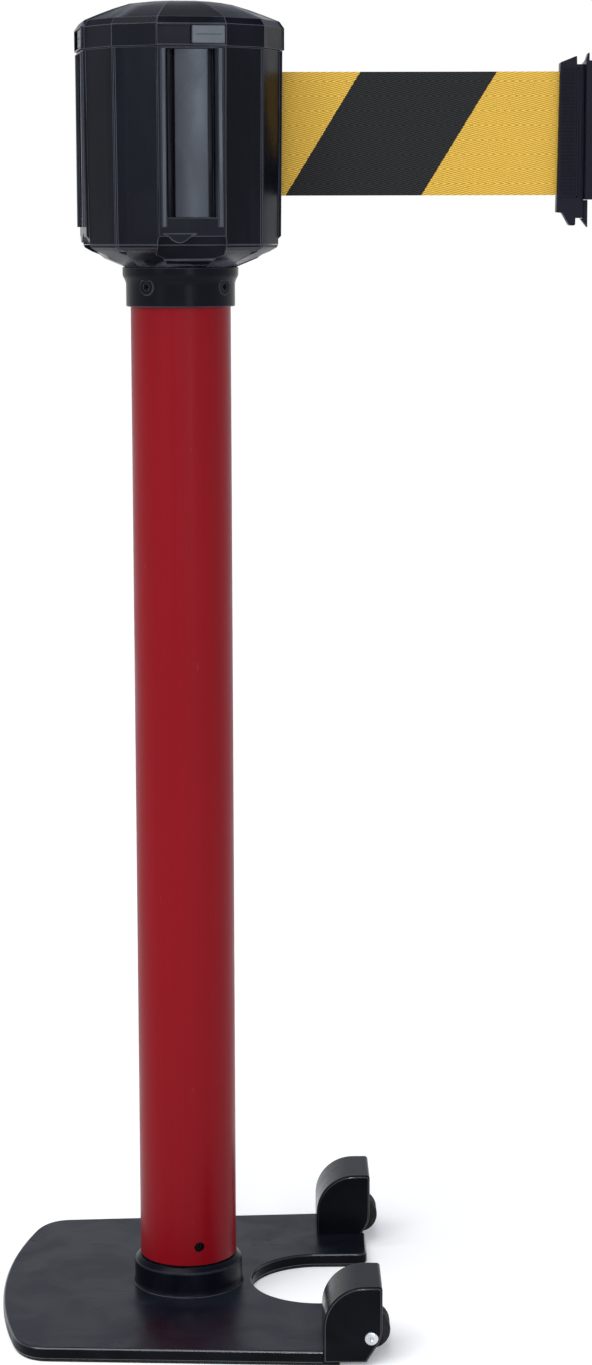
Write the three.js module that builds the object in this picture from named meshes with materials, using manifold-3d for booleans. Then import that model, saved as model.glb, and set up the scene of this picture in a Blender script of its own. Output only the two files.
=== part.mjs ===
// Retractable belt stanchion: a flat steel base with tilt-to-roll wheels, a red post,
// and a faceted head that holds a spring-loaded belt spool and three clip receivers.
// Millimetres, +Z up. The origin is on the floor at the post's axis, +X runs the way
// the belt is pulled, and the two wheels stand at the +X end of the base.

import * as THREE from "three";
import { mergeVertices } from "three/addons/utils/BufferGeometryUtils.js";
import Module from "manifold-3d";

const wasm = await Module();
wasm.setup();

// ---------- driving dimensions ----------

const GAP = 0.3;                    // clearance between pieces that touch
const ROUND = 36;                   // facets on the large round pieces
const SMALL_ROUND = 14;             // facets on screws and pins

// base
const PAD_THICK = 2;
const PLATE_THICK = 9.5;
const PLATE_TOP = PAD_THICK + PLATE_THICK;
const BASE_LEFT = -147;             // middle of the bowed end
const BASE_RIGHT = 145;             // ends of the two arms
const BASE_HALF_LEFT = 141.5;       // half width at the bowed end
const BASE_HALF_RIGHT = 157.5;      // half width at the wheels
const BASE_BOW = 15;
const BASE_CORNER = 28;
const BASE_CORNER_SLANT = 7;        // how far the bow's end leans in over a corner
const NOTCH_RADIUS = 54;
const NOTCH_CENTRE_X = 105;
const ARM_CORNER = 8;

// wheels and their covers
const AXLE_X = 140.6;
const AXLE_Z = 22.5;
const AXLE_RADIUS = 4;
const WHEEL_Y = 129.5;
const WHEEL_WIDTH = 24;
const TYRE_RADIUS = 15;
const HUB_RADIUS = 8.5;
const COVER_LEFT = 104.6;
const COVER_RIGHT = 149;
const COVER_TOP = 62;
const COVER_INNER_Y = 101.5;
const COVER_OUTER_Y = 157;
const COVER_WALL = 4;
const COVER_SKIRT = 3;              // thickness of the wall that hangs past the plate's edge
const COVER_HEEL = 119;             // the solid heel of a cover ends here
const COVER_SCREW_X = 110;

// post
const TUBE_RADIUS = 38.1;
const TUBE_WALL = 1.6;
const TUBE_BOTTOM = 36;
const TUBE_TOP = 808;
const RING_RADIUS = 42.8;
const RING_TOP = 31;
const SPIGOT_RADIUS = TUBE_RADIUS - TUBE_WALL - 0.4;
const SPIGOT_TOP = 92;
const FOOT_SCREW_Z = 51;
const FOOT_SCREW_TURN = -75.2;      // degrees from +X

// head
const HEAD_YAW = 8.8;               // the head is clamped at this turn on the post
const COLLAR_BOTTOM = 785.4;
const COLLAR_TOP = 815;
const COLLAR_RADIUS = 41.4;
const FLANGE_RADIUS = 44;
const BODY_BOTTOM = 832;
const BODY_TOP = 974.5;
const CAP_BOTTOM = BODY_TOP + 0.5;
const BODY_SCALE_BOTTOM = 0.972;
const BODY_SCALE_TOP = 0.99;
const STATION_HALF = 25.4;
const STATION_FACE = 75.6;          // distance of a station's face from the axis
const CHANNEL_HALF = 17.4;
const CHANNEL_FLOOR = 62;
const CHANNEL_BOTTOM = 851.5;
const CHANNEL_TOP = 973.2;
const RECEIVER_HALF = 12.5;
const RECEIVER_FACE = 73;           // distance of a receiver's flat face from the axis
const LOCK_BOTTOM = 976.4;
const LOCK_TOP = 989.8;
const LOCK_WIDTH = 24.6;
const LOCK_FLOOR = 70.5;
const TIE_RADIUS = 69.5;            // distance of the tie screws from the axis
const COLLAR_SCREW_Z = 800.5;

// spool and belt
const BELT_BOTTOM = 868.3;
const BELT_TOP = 960.6;
const BELT_THICK = 1;
const BELT_Y = 11.6;
const BELT_BEND_X = 57;
const COIL_RADIUS = 30;
const DRUM_RADIUS = 16;
const DRUM_FLANGE = 50;
const SHAFT_RADIUS = 4;
const SPRING_OUTER = 34;

// clip at the belt's end
const CLIP_LEFT = 286;
const CLIP_NECK = 300.4;
const CLIP_RIGHT = 306.4;
const CLIP_SCREW_X = 298.5;
const CLIP_HALF_THICK = 7;
const LATCH_THICK = 3.4;
const LATCH_LEG = 9;

// ---------- finishes ----------

function finish(color, roughness, metalness = 0) {
  return new THREE.MeshStandardMaterial({ color, roughness, metalness });
}

const finishes = {
  plate: () => finish(0x1b1b1e, 0.42, 0.3),
  rubber: () => finish(0x0d0d0e, 0.85),
  redPaint: () => finish(0x9c141f, 0.22, 0.1),
  blackPlastic: () => finish(0x101114, 0.24),
  clipPlastic: () => finish(0x1d1d2b, 0.45),
  innerPlastic: () => finish(0x3a3d42, 0.5),
  steel: () => finish(0xa9adb2, 0.35, 0.9),
  springSteel: () => finish(0x51555c, 0.3, 0.9),
  webbing: () => finish(0xd9ac3c, 0.8),
};

// ---------- solids ----------

function toSolid(geometry) {
  const bare = geometry.clone();
  bare.deleteAttribute("normal");
  bare.deleteAttribute("uv");
  const merged = mergeVertices(bare, 1e-4);
  const index = merged.index.array;
  const corners = [];
  for (let i = 0; i < index.length; i += 3) {
    const [a, b, c] = [index[i], index[i + 1], index[i + 2]];
    if (a !== b && b !== c && c !== a) corners.push(a, b, c);
  }
  const mesh = new wasm.Mesh({
    numProp: 3,
    vertProperties: new Float32Array(merged.attributes.position.array),
    triVerts: new Uint32Array(corners),
  });
  return new wasm.Manifold(mesh);
}

function toGeometry(solid) {
  const mesh = solid.getMesh();
  const geometry = new THREE.BufferGeometry();
  geometry.setAttribute("position", new THREE.BufferAttribute(mesh.vertProperties, 3));
  geometry.setIndex(new THREE.BufferAttribute(mesh.triVerts, 1));
  geometry.computeVertexNormals();
  return geometry;
}

function cut(geometry, ...tools) {
  return toGeometry(tools.reduce((solid, tool) => solid.subtract(toSolid(tool)), toSolid(geometry)));
}

function join(geometry, ...others) {
  return toGeometry(others.reduce((solid, other) => solid.add(toSolid(other)), toSolid(geometry)));
}

function box(x0, x1, y0, y1, z0, z1) {
  const geometry = new THREE.BoxGeometry(x1 - x0, y1 - y0, z1 - z0);
  return geometry.translate((x0 + x1) / 2, (y0 + y1) / 2, (z0 + z1) / 2);
}

function cylinderZ(radius, z0, z1, facets = SMALL_ROUND) {
  const geometry = new THREE.CylinderGeometry(radius, radius, z1 - z0, facets);
  return geometry.rotateX(Math.PI / 2).translate(0, 0, (z0 + z1) / 2);
}

function cylinderY(radius, y0, y1, facets = SMALL_ROUND) {
  const geometry = new THREE.CylinderGeometry(radius, radius, y1 - y0, facets);
  return geometry.translate(0, (y0 + y1) / 2, 0);
}

function cylinderX(radius, x0, x1, facets = SMALL_ROUND) {
  const geometry = new THREE.CylinderGeometry(radius, radius, x1 - x0, facets);
  return geometry.rotateZ(Math.PI / 2).translate((x0 + x1) / 2, 0, 0);
}

function lathe(points, facets = ROUND) {
  const profile = points.map(([r, z]) => new THREE.Vector2(r, z));
  return new THREE.LatheGeometry(profile, facets).rotateX(Math.PI / 2);
}

// A closed ring turned from a profile that runs anticlockwise in (radius, z).
function ring(points, facets = ROUND) {
  return lathe([...points, points[0]], facets);
}

function tubeBetween(inner, outer, z0, z1, facets = ROUND) {
  return ring([[inner, z0], [outer, z0], [outer, z1], [inner, z1]], facets);
}

function extrudeUp(shape, z0, z1, curveSegments = 12) {
  const options = { depth: z1 - z0, bevelEnabled: false, curveSegments };
  return new THREE.ExtrudeGeometry(shape, options).translate(0, 0, z0);
}

// Extrudes an outline drawn in (x, z) along +Y from y0 to y1.
function extrudeAcross(shape, y0, y1, curveSegments = 12) {
  const options = { depth: y1 - y0, bevelEnabled: false, curveSegments };
  return new THREE.ExtrudeGeometry(shape, options).rotateX(Math.PI / 2).translate(0, y1, 0);
}

function outline(points) {
  return new THREE.Shape(points.map(([x, y]) => new THREE.Vector2(x, y)));
}

// Skins a stack of outlines that all have the same number of points.
function loft(sections) {
  const count = sections[0].points.length;
  const positions = sections.flatMap(({ points, z }) => points.flatMap(([x, y]) => [x, y, z]));
  const index = [];
  for (let level = 0; level < sections.length - 1; level += 1) {
    for (let i = 0; i < count; i += 1) {
      const next = (i + 1) % count;
      const [a, b] = [level * count + i, level * count + next];
      index.push(a, b, b + count, a, b + count, a + count);
    }
  }
  const top = (sections.length - 1) * count;
  const flat = sections[0].points.map(([x, y]) => new THREE.Vector2(x, y));
  for (const [a, b, c] of THREE.ShapeUtils.triangulateShape(flat, [])) {
    index.push(c, b, a, top + a, top + b, top + c);
  }
  const geometry = new THREE.BufferGeometry();
  geometry.setAttribute("position", new THREE.Float32BufferAttribute(positions, 3));
  geometry.setIndex(index);
  return geometry;
}

function radians(degrees) {
  return THREE.MathUtils.degToRad(degrees);
}

const stanchion = new THREE.Group();
const base = new THREE.Group();
const post = new THREE.Group();
const head = new THREE.Group();
head.rotation.z = radians(HEAD_YAW);
const belt = new THREE.Group();
stanchion.add(base, post, head, belt);

function add(group, name, geometry, material) {
  const mesh = new THREE.Mesh(geometry, material);
  mesh.name = name;
  group.add(mesh);
  return mesh;
}

// ---------- base ----------

function sideHalfWidth(x) {
  const along = (x - BASE_LEFT) / (BASE_RIGHT - BASE_LEFT);
  return THREE.MathUtils.lerp(BASE_HALF_LEFT, BASE_HALF_RIGHT, along);
}

// The base outline: a bowed left end, sides that widen to the right, and two arms
// around a round-bottomed notch, which lets bases nest.
function baseOutline(inset) {
  const left = BASE_LEFT + inset;
  const right = BASE_RIGHT - inset;
  const shoulder = left + BASE_BOW;
  const notch = NOTCH_RADIUS + inset;
  const half = (x) => sideHalfWidth(x) - inset;
  const corner = half(shoulder) - BASE_CORNER;
  const shape = new THREE.Shape();
  const slant = shoulder + BASE_CORNER_SLANT;
  shape.moveTo(shoulder, -corner);
  shape.quadraticCurveTo(slant, -half(slant), shoulder + BASE_CORNER, -half(shoulder + BASE_CORNER));
  shape.lineTo(right - ARM_CORNER, -half(right));
  shape.quadraticCurveTo(right, -half(right), right, -half(right) + ARM_CORNER);
  shape.lineTo(right, -notch - ARM_CORNER);
  shape.quadraticCurveTo(right, -notch, right - ARM_CORNER, -notch);
  shape.lineTo(NOTCH_CENTRE_X, -notch);
  shape.absarc(NOTCH_CENTRE_X, 0, notch, -Math.PI / 2, Math.PI / 2, true);
  shape.lineTo(right - ARM_CORNER, notch);
  shape.quadraticCurveTo(right, notch, right, notch + ARM_CORNER);
  shape.lineTo(right, half(right) - ARM_CORNER);
  shape.quadraticCurveTo(right, half(right), right - ARM_CORNER, half(right));
  shape.lineTo(shoulder + BASE_CORNER, half(shoulder + BASE_CORNER));
  shape.quadraticCurveTo(slant, half(slant), shoulder, corner);
  shape.quadraticCurveTo(left - BASE_BOW, 0, shoulder, -corner);
  return shape;
}

// The pocket that a wheel hangs in, open to the right.
function wheelPocket(side) {
  const y = [side * (COVER_INNER_Y + COVER_WALL), side * (COVER_OUTER_Y + 5)].sort((a, b) => a - b);
  return box(COVER_HEEL - 2, BASE_RIGHT + 5, y[0], y[1], -1, PLATE_TOP + 1);
}

// The step in the plate's edge that a cover's skirt hangs in.
function skirtStep(side) {
  const y = [side * (COVER_OUTER_Y - COVER_SKIRT - 0.5), side * (COVER_OUTER_Y + 5)].sort((a, b) => a - b);
  return box(COVER_LEFT - 0.5, COVER_HEEL, y[0], y[1], -1, PLATE_TOP + 1);
}

function boltHole(radius, z0, z1) {
  return cylinderZ(radius, z0, z1, SMALL_ROUND);
}

function makePlate() {
  const slab = extrudeUp(baseOutline(0), PAD_THICK, PLATE_TOP, 14);
  const screwHoles = [1, -1].map((side) => {
    return boltHole(2.5, PAD_THICK - 1, PLATE_TOP + 1).translate(COVER_SCREW_X, side * WHEEL_Y, 0);
  });
  const screwSeats = [1, -1].map((side) => {
    return boltHole(5, PAD_THICK - 1, PAD_THICK + 3.6).translate(COVER_SCREW_X, side * WHEEL_Y, 0);
  });
  return cut(slab, wheelPocket(1), wheelPocket(-1), skirtStep(1), skirtStep(-1),
    boltHole(5.6, 0, 20), boltHole(11.5, 0, 9), ...screwHoles, ...screwSeats);
}

const padSlab = extrudeUp(baseOutline(1.5), 0, PAD_THICK - 0.1, 14);
add(base, "base_pad", cut(padSlab, wheelPocket(1), wheelPocket(-1)), finishes.rubber());
add(base, "base_plate", makePlate(), finishes.plate());

// One cover in (x, z): a quarter-round back, a flat crown and a slanted lower right corner.
function coverOutline(bottom) {
  const left = COVER_LEFT;
  const right = COVER_RIGHT;
  const top = COVER_TOP;
  const shape = new THREE.Shape();
  shape.moveTo(left, bottom);
  shape.lineTo(left, 30);
  shape.bezierCurveTo(left, 48, left + 14, top, left + 32, top);
  shape.lineTo(right, top);
  shape.lineTo(right, 22);
  shape.lineTo(137 + (bottom - 3) * 0.6, bottom);
  return shape;
}

function coverCavity() {
  const top = COVER_TOP - COVER_WALL;
  const shape = new THREE.Shape();
  shape.moveTo(COVER_HEEL, -1);
  shape.lineTo(COVER_HEEL, 28);
  shape.quadraticCurveTo(COVER_HEEL + 2, top, COVER_HEEL + 18, top);
  shape.lineTo(COVER_RIGHT + 10, top);
  shape.lineTo(COVER_RIGHT + 10, -1);
  return shape;
}

// Builds the cover on the +Y side; the other one is its mirror image. The axle's hole is blind.
function makeCover() {
  const upper = extrudeAcross(coverOutline(PLATE_TOP + 0.1), COVER_INNER_Y, COVER_OUTER_Y);
  const skirt = extrudeAcross(coverOutline(PAD_THICK + 1), COVER_OUTER_Y - COVER_SKIRT, COVER_OUTER_Y);
  const hollow = extrudeAcross(coverCavity(), COVER_INNER_Y + COVER_WALL, COVER_OUTER_Y - COVER_WALL);
  const axleHole = cylinderY(AXLE_RADIUS + GAP, COVER_INNER_Y + 0.7, COVER_OUTER_Y + 5);
  axleHole.translate(AXLE_X, 0, AXLE_Z);
  const screwHole = cylinderZ(2.5, 0, 30).translate(COVER_SCREW_X, WHEEL_Y, 0);
  return cut(join(upper, skirt), hollow, axleHole, screwHole);
}

function mirrorY(geometry) {
  const flipped = geometry.clone().scale(1, -1, 1);
  const index = flipped.index.array;
  for (let i = 0; i < index.length; i += 3) {
    [index[i + 1], index[i + 2]] = [index[i + 2], index[i + 1]];
  }
  return flipped;
}

function addWheel(side, place) {
  const group = new THREE.Group();
  base.add(group);
  const inner = side * (COVER_INNER_Y + 1);
  const outer = side * (COVER_OUTER_Y + 0.2);
  const cover = makeCover();
  add(group, `wheel_cover_${place}`, side > 0 ? cover : mirrorY(cover), finishes.plate());

  const axle = new THREE.Group();
  axle.position.set(AXLE_X, 0, AXLE_Z);
  group.add(axle);
  const ends = [inner, outer].sort((a, b) => a - b);
  const headEnds = [outer, outer + side * 2].sort((a, b) => a - b);
  const shank = cylinderY(AXLE_RADIUS, ends[0], ends[1]);
  const pinHead = cylinderY(AXLE_RADIUS + 1.2, headEnds[0], headEnds[1], 18);
  add(axle, `axle_pin_${place}`, join(shank, pinHead), finishes.steel());

  const wall = side * (COVER_INNER_Y + COVER_WALL);
  const clipEnds = [wall + side * 0.4, wall + side * 1.6].sort((a, b) => a - b);
  const clip = tubeBetween(AXLE_RADIUS + 0.1, AXLE_RADIUS + 3, clipEnds[0], clipEnds[1], 16);
  add(axle, `axle_clip_${place}`, clip.rotateX(-Math.PI / 2), finishes.springSteel());

  const half = WHEEL_WIDTH / 2;
  const hub = tubeBetween(AXLE_RADIUS + 0.2, HUB_RADIUS - 0.2, -half - 1, half + 1, 20);
  hub.rotateX(-Math.PI / 2).translate(0, side * WHEEL_Y, 0);
  add(axle, `wheel_hub_${place}`, hub, finishes.innerPlastic());

  const tread = [
    [HUB_RADIUS, -half], [TYRE_RADIUS - 2, -half], [TYRE_RADIUS, -half + 2],
    [TYRE_RADIUS, half - 2], [TYRE_RADIUS - 2, half], [HUB_RADIUS, half],
  ];
  const tyre = ring(tread, 28).rotateX(-Math.PI / 2).translate(0, side * WHEEL_Y, 0);
  add(axle, `wheel_tyre_${place}`, tyre, finishes.rubber());

  const screwHead = cylinderZ(4.6, PAD_THICK + 0.1, PAD_THICK + 3.4);
  const screwShank = cylinderZ(2.2, PAD_THICK + 3, 28);
  const screw = join(screwHead, screwShank).translate(COVER_SCREW_X, side * WHEEL_Y, 0);
  add(group, `cover_screw_${place}`, screw, finishes.steel());
}

addWheel(-1, "front");
addWheel(1, "rear");

// ---------- post ----------

function radialTool(radius, r0, r1, turn, z, facets = SMALL_ROUND) {
  return cylinderX(radius, r0, r1, facets).rotateZ(radians(turn)).translate(0, 0, z);
}

const footRing = ring([
  [SPIGOT_RADIUS + 0.3, PLATE_TOP + 0.1], [RING_RADIUS + 1.5, PLATE_TOP + 0.1], [RING_RADIUS, PLATE_TOP + 3],
  [RING_RADIUS, RING_TOP], [TUBE_RADIUS + 0.5, TUBE_BOTTOM - 1.5], [SPIGOT_RADIUS + 0.3, TUBE_BOTTOM - 1.5],
]);
add(post, "foot_ring", footRing, finishes.blackPlastic());

const spigotBody = ring([
  [5.3, PLATE_TOP + 0.1], [SPIGOT_RADIUS, PLATE_TOP + 0.1], [SPIGOT_RADIUS, SPIGOT_TOP - 3],
  [SPIGOT_RADIUS - 2, SPIGOT_TOP], [SPIGOT_RADIUS - 6, SPIGOT_TOP], [SPIGOT_RADIUS - 6, PLATE_TOP + 26],
  [5.3, PLATE_TOP + 26],
], 32);
add(post, "post_spigot", cut(spigotBody, radialTool(3.4, 26, 40, FOOT_SCREW_TURN, FOOT_SCREW_Z)),
  finishes.steel());

const footScrew = cut(radialTool(3, SPIGOT_RADIUS - 7, SPIGOT_RADIUS - 0.6, FOOT_SCREW_TURN, FOOT_SCREW_Z),
  radialTool(1.5, SPIGOT_RADIUS - 3, SPIGOT_RADIUS + 1, FOOT_SCREW_TURN, FOOT_SCREW_Z, 6));
add(post, "foot_set_screw", footScrew, finishes.springSteel());

add(post, "base_bolt", join(cylinderZ(9, PAD_THICK + 0.2, 6.8, 6), cylinderZ(5, 6, 35)), finishes.steel());
add(post, "base_bolt_washer", tubeBetween(5.2, 11, 7, 8.8, 18), finishes.steel());

const tubeBody = tubeBetween(TUBE_RADIUS - TUBE_WALL, TUBE_RADIUS, TUBE_BOTTOM, TUBE_TOP);
const tubeHole = radialTool(4.1, 30, 42, FOOT_SCREW_TURN, FOOT_SCREW_Z);
add(post, "post_tube", cut(tubeBody, tubeHole), finishes.redPaint());

// ---------- head outlines ----------

// The head has four stations a quarter turn apart. Each corner of the outline is
// [across, out]: across the station's face, and out from the axis.
const RIDGE_IN = 78.7;
const RIDGE_OUT = 79.9;
const RIDGE_HALF = 1.1;

function onDiagonal(distance, aside) {
  return [(distance + aside) * Math.SQRT1_2, (distance - aside) * Math.SQRT1_2];
}

const bodyCorners = [
  [-STATION_HALF - 0.5, 73.4], [-STATION_HALF, STATION_FACE], [STATION_HALF, STATION_FACE],
  [STATION_HALF + 0.5, 73.4], [46.7, 62], onDiagonal(RIDGE_IN, -RIDGE_HALF - 0.4),
  onDiagonal(RIDGE_OUT, -RIDGE_HALF + 0.4), onDiagonal(RIDGE_OUT, RIDGE_HALF - 0.4),
  onDiagonal(RIDGE_IN, RIDGE_HALF + 0.4),
];
const capCorners = [
  [-STATION_HALF - 0.5, 74.8], [-STATION_HALF, STATION_FACE + 0.6], [STATION_HALF, STATION_FACE + 0.6],
  [STATION_HALF + 0.5, 73.4], [46.7, 62], onDiagonal(RIDGE_OUT, 0),
];
const cavityCorners = [[-22, 58.5], [22, 58.5], [27, 69], [44.5, 58.5], [52.5, 52.5], [58.5, 44.5], [69, 27]];

// Past the diagonal, one more corner leads on to the next station.
function headOutline(corners, scale) {
  const points = [];
  for (let station = 0; station < 4; station += 1) {
    const turn = station * Math.PI / 2;
    const [c, s] = [Math.cos(turn) * scale, Math.sin(turn) * scale];
    const mirrored = corners === cavityCorners ? [] : [[62, 46.7]];
    for (const [across, out] of [...corners, ...mirrored]) {
      points.push([out * c - across * s, out * s + across * c]);
    }
  }
  return points;
}

function roundOutline(corners, radius) {
  return headOutline(corners, 1).map(([x, y]) => {
    const scale = radius / Math.hypot(x, y);
    return [x * scale, y * scale];
  });
}

function aroundHead(geometry, turn) {
  return geometry.clone().rotateZ(radians(turn));
}

const STATIONS = { front: -90, right: 0, rear: 90, left: 180 };
const RECEIVERS = ["front", "rear", "left"];
const TIE_TURNS = [45, 135, 225, 315];

// ---------- head collar and base ----------

const collarBody = ring([
  [TUBE_RADIUS + 0.3, COLLAR_BOTTOM], [COLLAR_RADIUS, COLLAR_BOTTOM], [COLLAR_RADIUS, 804],
  [FLANGE_RADIUS, 808.5], [FLANGE_RADIUS, COLLAR_TOP], [SPIGOT_RADIUS + 0.4, COLLAR_TOP],
  [SPIGOT_RADIUS + 0.4, TUBE_TOP + 0.4], [TUBE_RADIUS + 0.3, TUBE_TOP + 0.4],
]);
const collarHoles = TIE_TURNS.map((turn) => radialTool(2.8, 36, 46, turn, COLLAR_SCREW_Z));
add(head, "head_collar", cut(collarBody, ...collarHoles), finishes.blackPlastic());

TIE_TURNS.forEach((turn, i) => {
  const body = radialTool(2.5, TUBE_RADIUS + 0.4, COLLAR_RADIUS - 0.1, turn, COLLAR_SCREW_Z, 16);
  const socket = radialTool(1.3, COLLAR_RADIUS - 1.6, COLLAR_RADIUS + 1, turn, COLLAR_SCREW_Z, 6);
  add(head, `collar_screw_${i + 1}`, cut(body, socket), finishes.springSteel());
});

function tieHoles(radius, z0, z1) {
  return TIE_TURNS.map((turn) => aroundHead(cylinderZ(radius, z0, z1).translate(TIE_RADIUS, 0, 0), turn));
}

// The slanted facet under each station runs on from the body into the base.
function undersides() {
  const wedge = outline([[54, 810], [80, 810], [80, 844.2], [54, 819.6]]);
  const tool = extrudeAcross(wedge, -STATION_HALF, STATION_HALF);
  return Object.values(STATIONS).map((turn) => aroundHead(tool, turn));
}

function makeHeadBase() {
  const cone = loft([
    { points: roundOutline(bodyCorners, FLANGE_RADIUS - 0.6), z: COLLAR_TOP + 0.1 },
    { points: headOutline(bodyCorners, 0.895), z: 826.5 },
    { points: headOutline(bodyCorners, BODY_SCALE_BOTTOM - 0.012), z: 829.6 },
    { points: headOutline(bodyCorners, BODY_SCALE_BOTTOM), z: BODY_BOTTOM - 0.2 },
  ]);
  const spigot = cylinderZ(SPIGOT_RADIUS, 772, COLLAR_TOP + 2, 32);
  const bore = cylinderZ(SPIGOT_RADIUS - 5, 770, COLLAR_TOP - 4, 32);
  const tray = lathe([[0, 821], [42, 821], [58, 828], [58, BODY_BOTTOM + 1], [0, BODY_BOTTOM + 1]], 28);
  return cut(join(cone, spigot), bore, tray, cylinderZ(SHAFT_RADIUS + GAP, 800, 830),
    ...tieHoles(1.9, 820, 840), ...tieHoles(3.6, 815, 829.4), ...undersides());
}

add(head, "head_base", makeHeadBase(), finishes.blackPlastic());

TIE_TURNS.forEach((turn, i) => {
  const screw = join(cylinderZ(3.2, 827, 829.2, 16), cylinderZ(1.6, 829, 984, 12));
  screw.translate(TIE_RADIUS, 0, 0);
  add(head, `tie_screw_${i + 1}`, aroundHead(screw, turn), finishes.springSteel());
});

// ---------- head body, receivers and belt outlet ----------

function bodyScale(z) {
  return THREE.MathUtils.mapLinear(z, BODY_BOTTOM, BODY_TOP, BODY_SCALE_BOTTOM, BODY_SCALE_TOP);
}

// The rounded chin on a station's bottom edge, a little to one side.
function makeChin() {
  const shape = outline([
    [-22, 840], [-18, 838.2], [-14.5, 835], [-11, 833.4], [-8, 833.4], [-4.5, 835], [-1, 838.2], [3, 840],
  ]);
  const chin = new THREE.ExtrudeGeometry(shape, { depth: 8, bevelEnabled: false });
  return chin.rotateX(Math.PI / 2).rotateZ(Math.PI / 2).translate(66, 0, 0);
}

// A raised lip along one side of a receiver's channel.
function channelLip(side) {
  const section = [[70, 19], [75.4, 19], [76.1, 19.8], [76.1, 22], [75.2, 22.8], [70, 22.8]];
  return extrudeUp(outline(section.map(([out, across]) => [out, side * across])), 845, CHANNEL_TOP - 0.2);
}

function makeHeadBody() {
  const section = (z) => ({ points: headOutline(bodyCorners, bodyScale(z)), z });
  const shell = loft([section(BODY_BOTTOM), section(BODY_TOP)]);
  const cavity = extrudeUp(outline(headOutline(cavityCorners, 1)), BODY_BOTTOM - 1, BODY_TOP + 1);
  const bosses = tieHoles(6, BODY_BOTTOM, BODY_TOP);
  const flare = outline([
    [CHANNEL_FLOOR, -CHANNEL_HALF], [RECEIVER_FACE - 1, -CHANNEL_HALF], [90, -CHANNEL_HALF - 14],
    [90, CHANNEL_HALF + 14], [RECEIVER_FACE - 1, CHANNEL_HALF], [CHANNEL_FLOOR, CHANNEL_HALF],
  ]);
  const channel = extrudeUp(flare, CHANNEL_BOTTOM, CHANNEL_TOP);
  const channels = Object.values(STATIONS).map((turn) => aroundHead(channel, turn));
  const outlet = box(40, 90, -6.5, 12.5, BELT_BOTTOM - 12, BELT_TOP + 9);
  const lips = RECEIVERS.flatMap((place) => {
    return [1, -1].map((side) => aroundHead(channelLip(side), STATIONS[place]));
  });
  const chins = RECEIVERS.map((place) => aroundHead(makeChin(), STATIONS[place]));
  const trimmed = cut(shell, cavity, ...undersides());
  const holes = tieHoles(1.9, BODY_BOTTOM - 1, BODY_TOP + 1);
  return join(cut(join(trimmed, ...bosses), ...channels, outlet, ...holes), ...lips, ...chins);
}

add(head, "head_body", makeHeadBody(), finishes.blackPlastic());

// A receiver is the upright bar between the two grooves that a belt clip hooks into.
for (const place of RECEIVERS) {
  const bar = box(CHANNEL_FLOOR + GAP, RECEIVER_FACE, -RECEIVER_HALF, RECEIVER_HALF,
    CHANNEL_BOTTOM + GAP, CHANNEL_TOP - GAP);
  add(head, `receiver_${place}`, aroundHead(bar, STATIONS[place]), finishes.blackPlastic());
}

// The outlet bezel fills the fourth station and carries the pin that turns the belt.
const PIN_RADIUS = 3;
const PIN_X = BELT_BEND_X;
const PIN_Y = BELT_Y + BELT_THICK / 2 + PIN_RADIUS + 0.4;
const pinInHead = new THREE.Vector2(PIN_X, PIN_Y).rotateAround(new THREE.Vector2(), -radians(HEAD_YAW));

function makeBezel() {
  const plate = box(CHANNEL_FLOOR + GAP, STATION_FACE * BODY_SCALE_BOTTOM + 0.3, -CHANNEL_HALF + GAP,
    CHANNEL_HALF - GAP, CHANNEL_BOTTOM + GAP, CHANNEL_TOP - GAP);
  const arms = [[857, 862], [964.6, 969]].map(([z0, z1]) => box(52, CHANNEL_FLOOR + 2, -6, 6, z0, z1));
  const slot = box(40, 90, -5, 5, BELT_BOTTOM - 3, BELT_TOP + 3);
  const lips = [1, -1].map((side) => {
    const lip = box(-4, 4, -4, 4, BELT_BOTTOM - 3, BELT_TOP + 3).rotateZ(Math.PI / 4);
    return lip.translate(STATION_FACE * BODY_SCALE_BOTTOM + 0.3, side * 5, 0);
  });
  const pinHole = cylinderZ(PIN_RADIUS + 0.2, 859.8, 966.8).translate(pinInHead.x, pinInHead.y, 0);
  const nose = cylinderZ(5.4, 857, 862).translate(pinInHead.x, pinInHead.y, 0);
  const upperNose = cylinderZ(5.4, 964.6, 969).translate(pinInHead.x, pinInHead.y, 0);
  return cut(join(plate, ...arms, nose, upperNose), slot, ...lips, pinHole);
}

add(head, "outlet_bezel", makeBezel(), finishes.blackPlastic());
const guidePin = cylinderZ(PIN_RADIUS, 860, 966.6).translate(pinInHead.x, pinInHead.y, 0);
add(head, "guide_pin", guidePin, finishes.steel());

// ---------- head cap and slide locks ----------

const ROOF = [
  [1, CAP_BOTTOM], [1, 991], [0.955, 996], [0.81, 1000.6], [0.66, 1005], [0.5, 1008.9], [0.36, 1010.4],
];

function makeCap() {
  const dome = loft(ROOF.map(([scale, z]) => ({ points: headOutline(capCorners, scale), z })));
  const hollow = lathe([[0, CAP_BOTTOM - 1], [64, CAP_BOTTOM - 1], [64, 990], [40, 1002], [0, 1005]], 28);
  const pockets = RECEIVERS.map((place) => {
    const pocketHalf = STATION_HALF - 0.2;
    const pocket = box(LOCK_FLOOR, 90, -pocketHalf, pocketHalf, LOCK_BOTTOM - GAP, LOCK_TOP + GAP);
    return aroundHead(pocket, STATIONS[place]);
  });
  return cut(dome, hollow, ...pockets, ...tieHoles(1.9, CAP_BOTTOM - 1, 984.5));
}

add(head, "head_cap", makeCap(), finishes.blackPlastic());

for (const place of RECEIVERS) {
  const block = box(LOCK_FLOOR + GAP, STATION_FACE + 0.4, STATION_HALF - 0.6 - LOCK_WIDTH, STATION_HALF - 0.6,
    LOCK_BOTTOM, LOCK_TOP);
  const grip = box(STATION_FACE - 0.5, 90, 0, STATION_HALF - 2.5, 982.4, 983.2);
  add(head, `slide_lock_${place}`, aroundHead(cut(block, grip), STATIONS[place]), finishes.innerPlastic());
}

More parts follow.
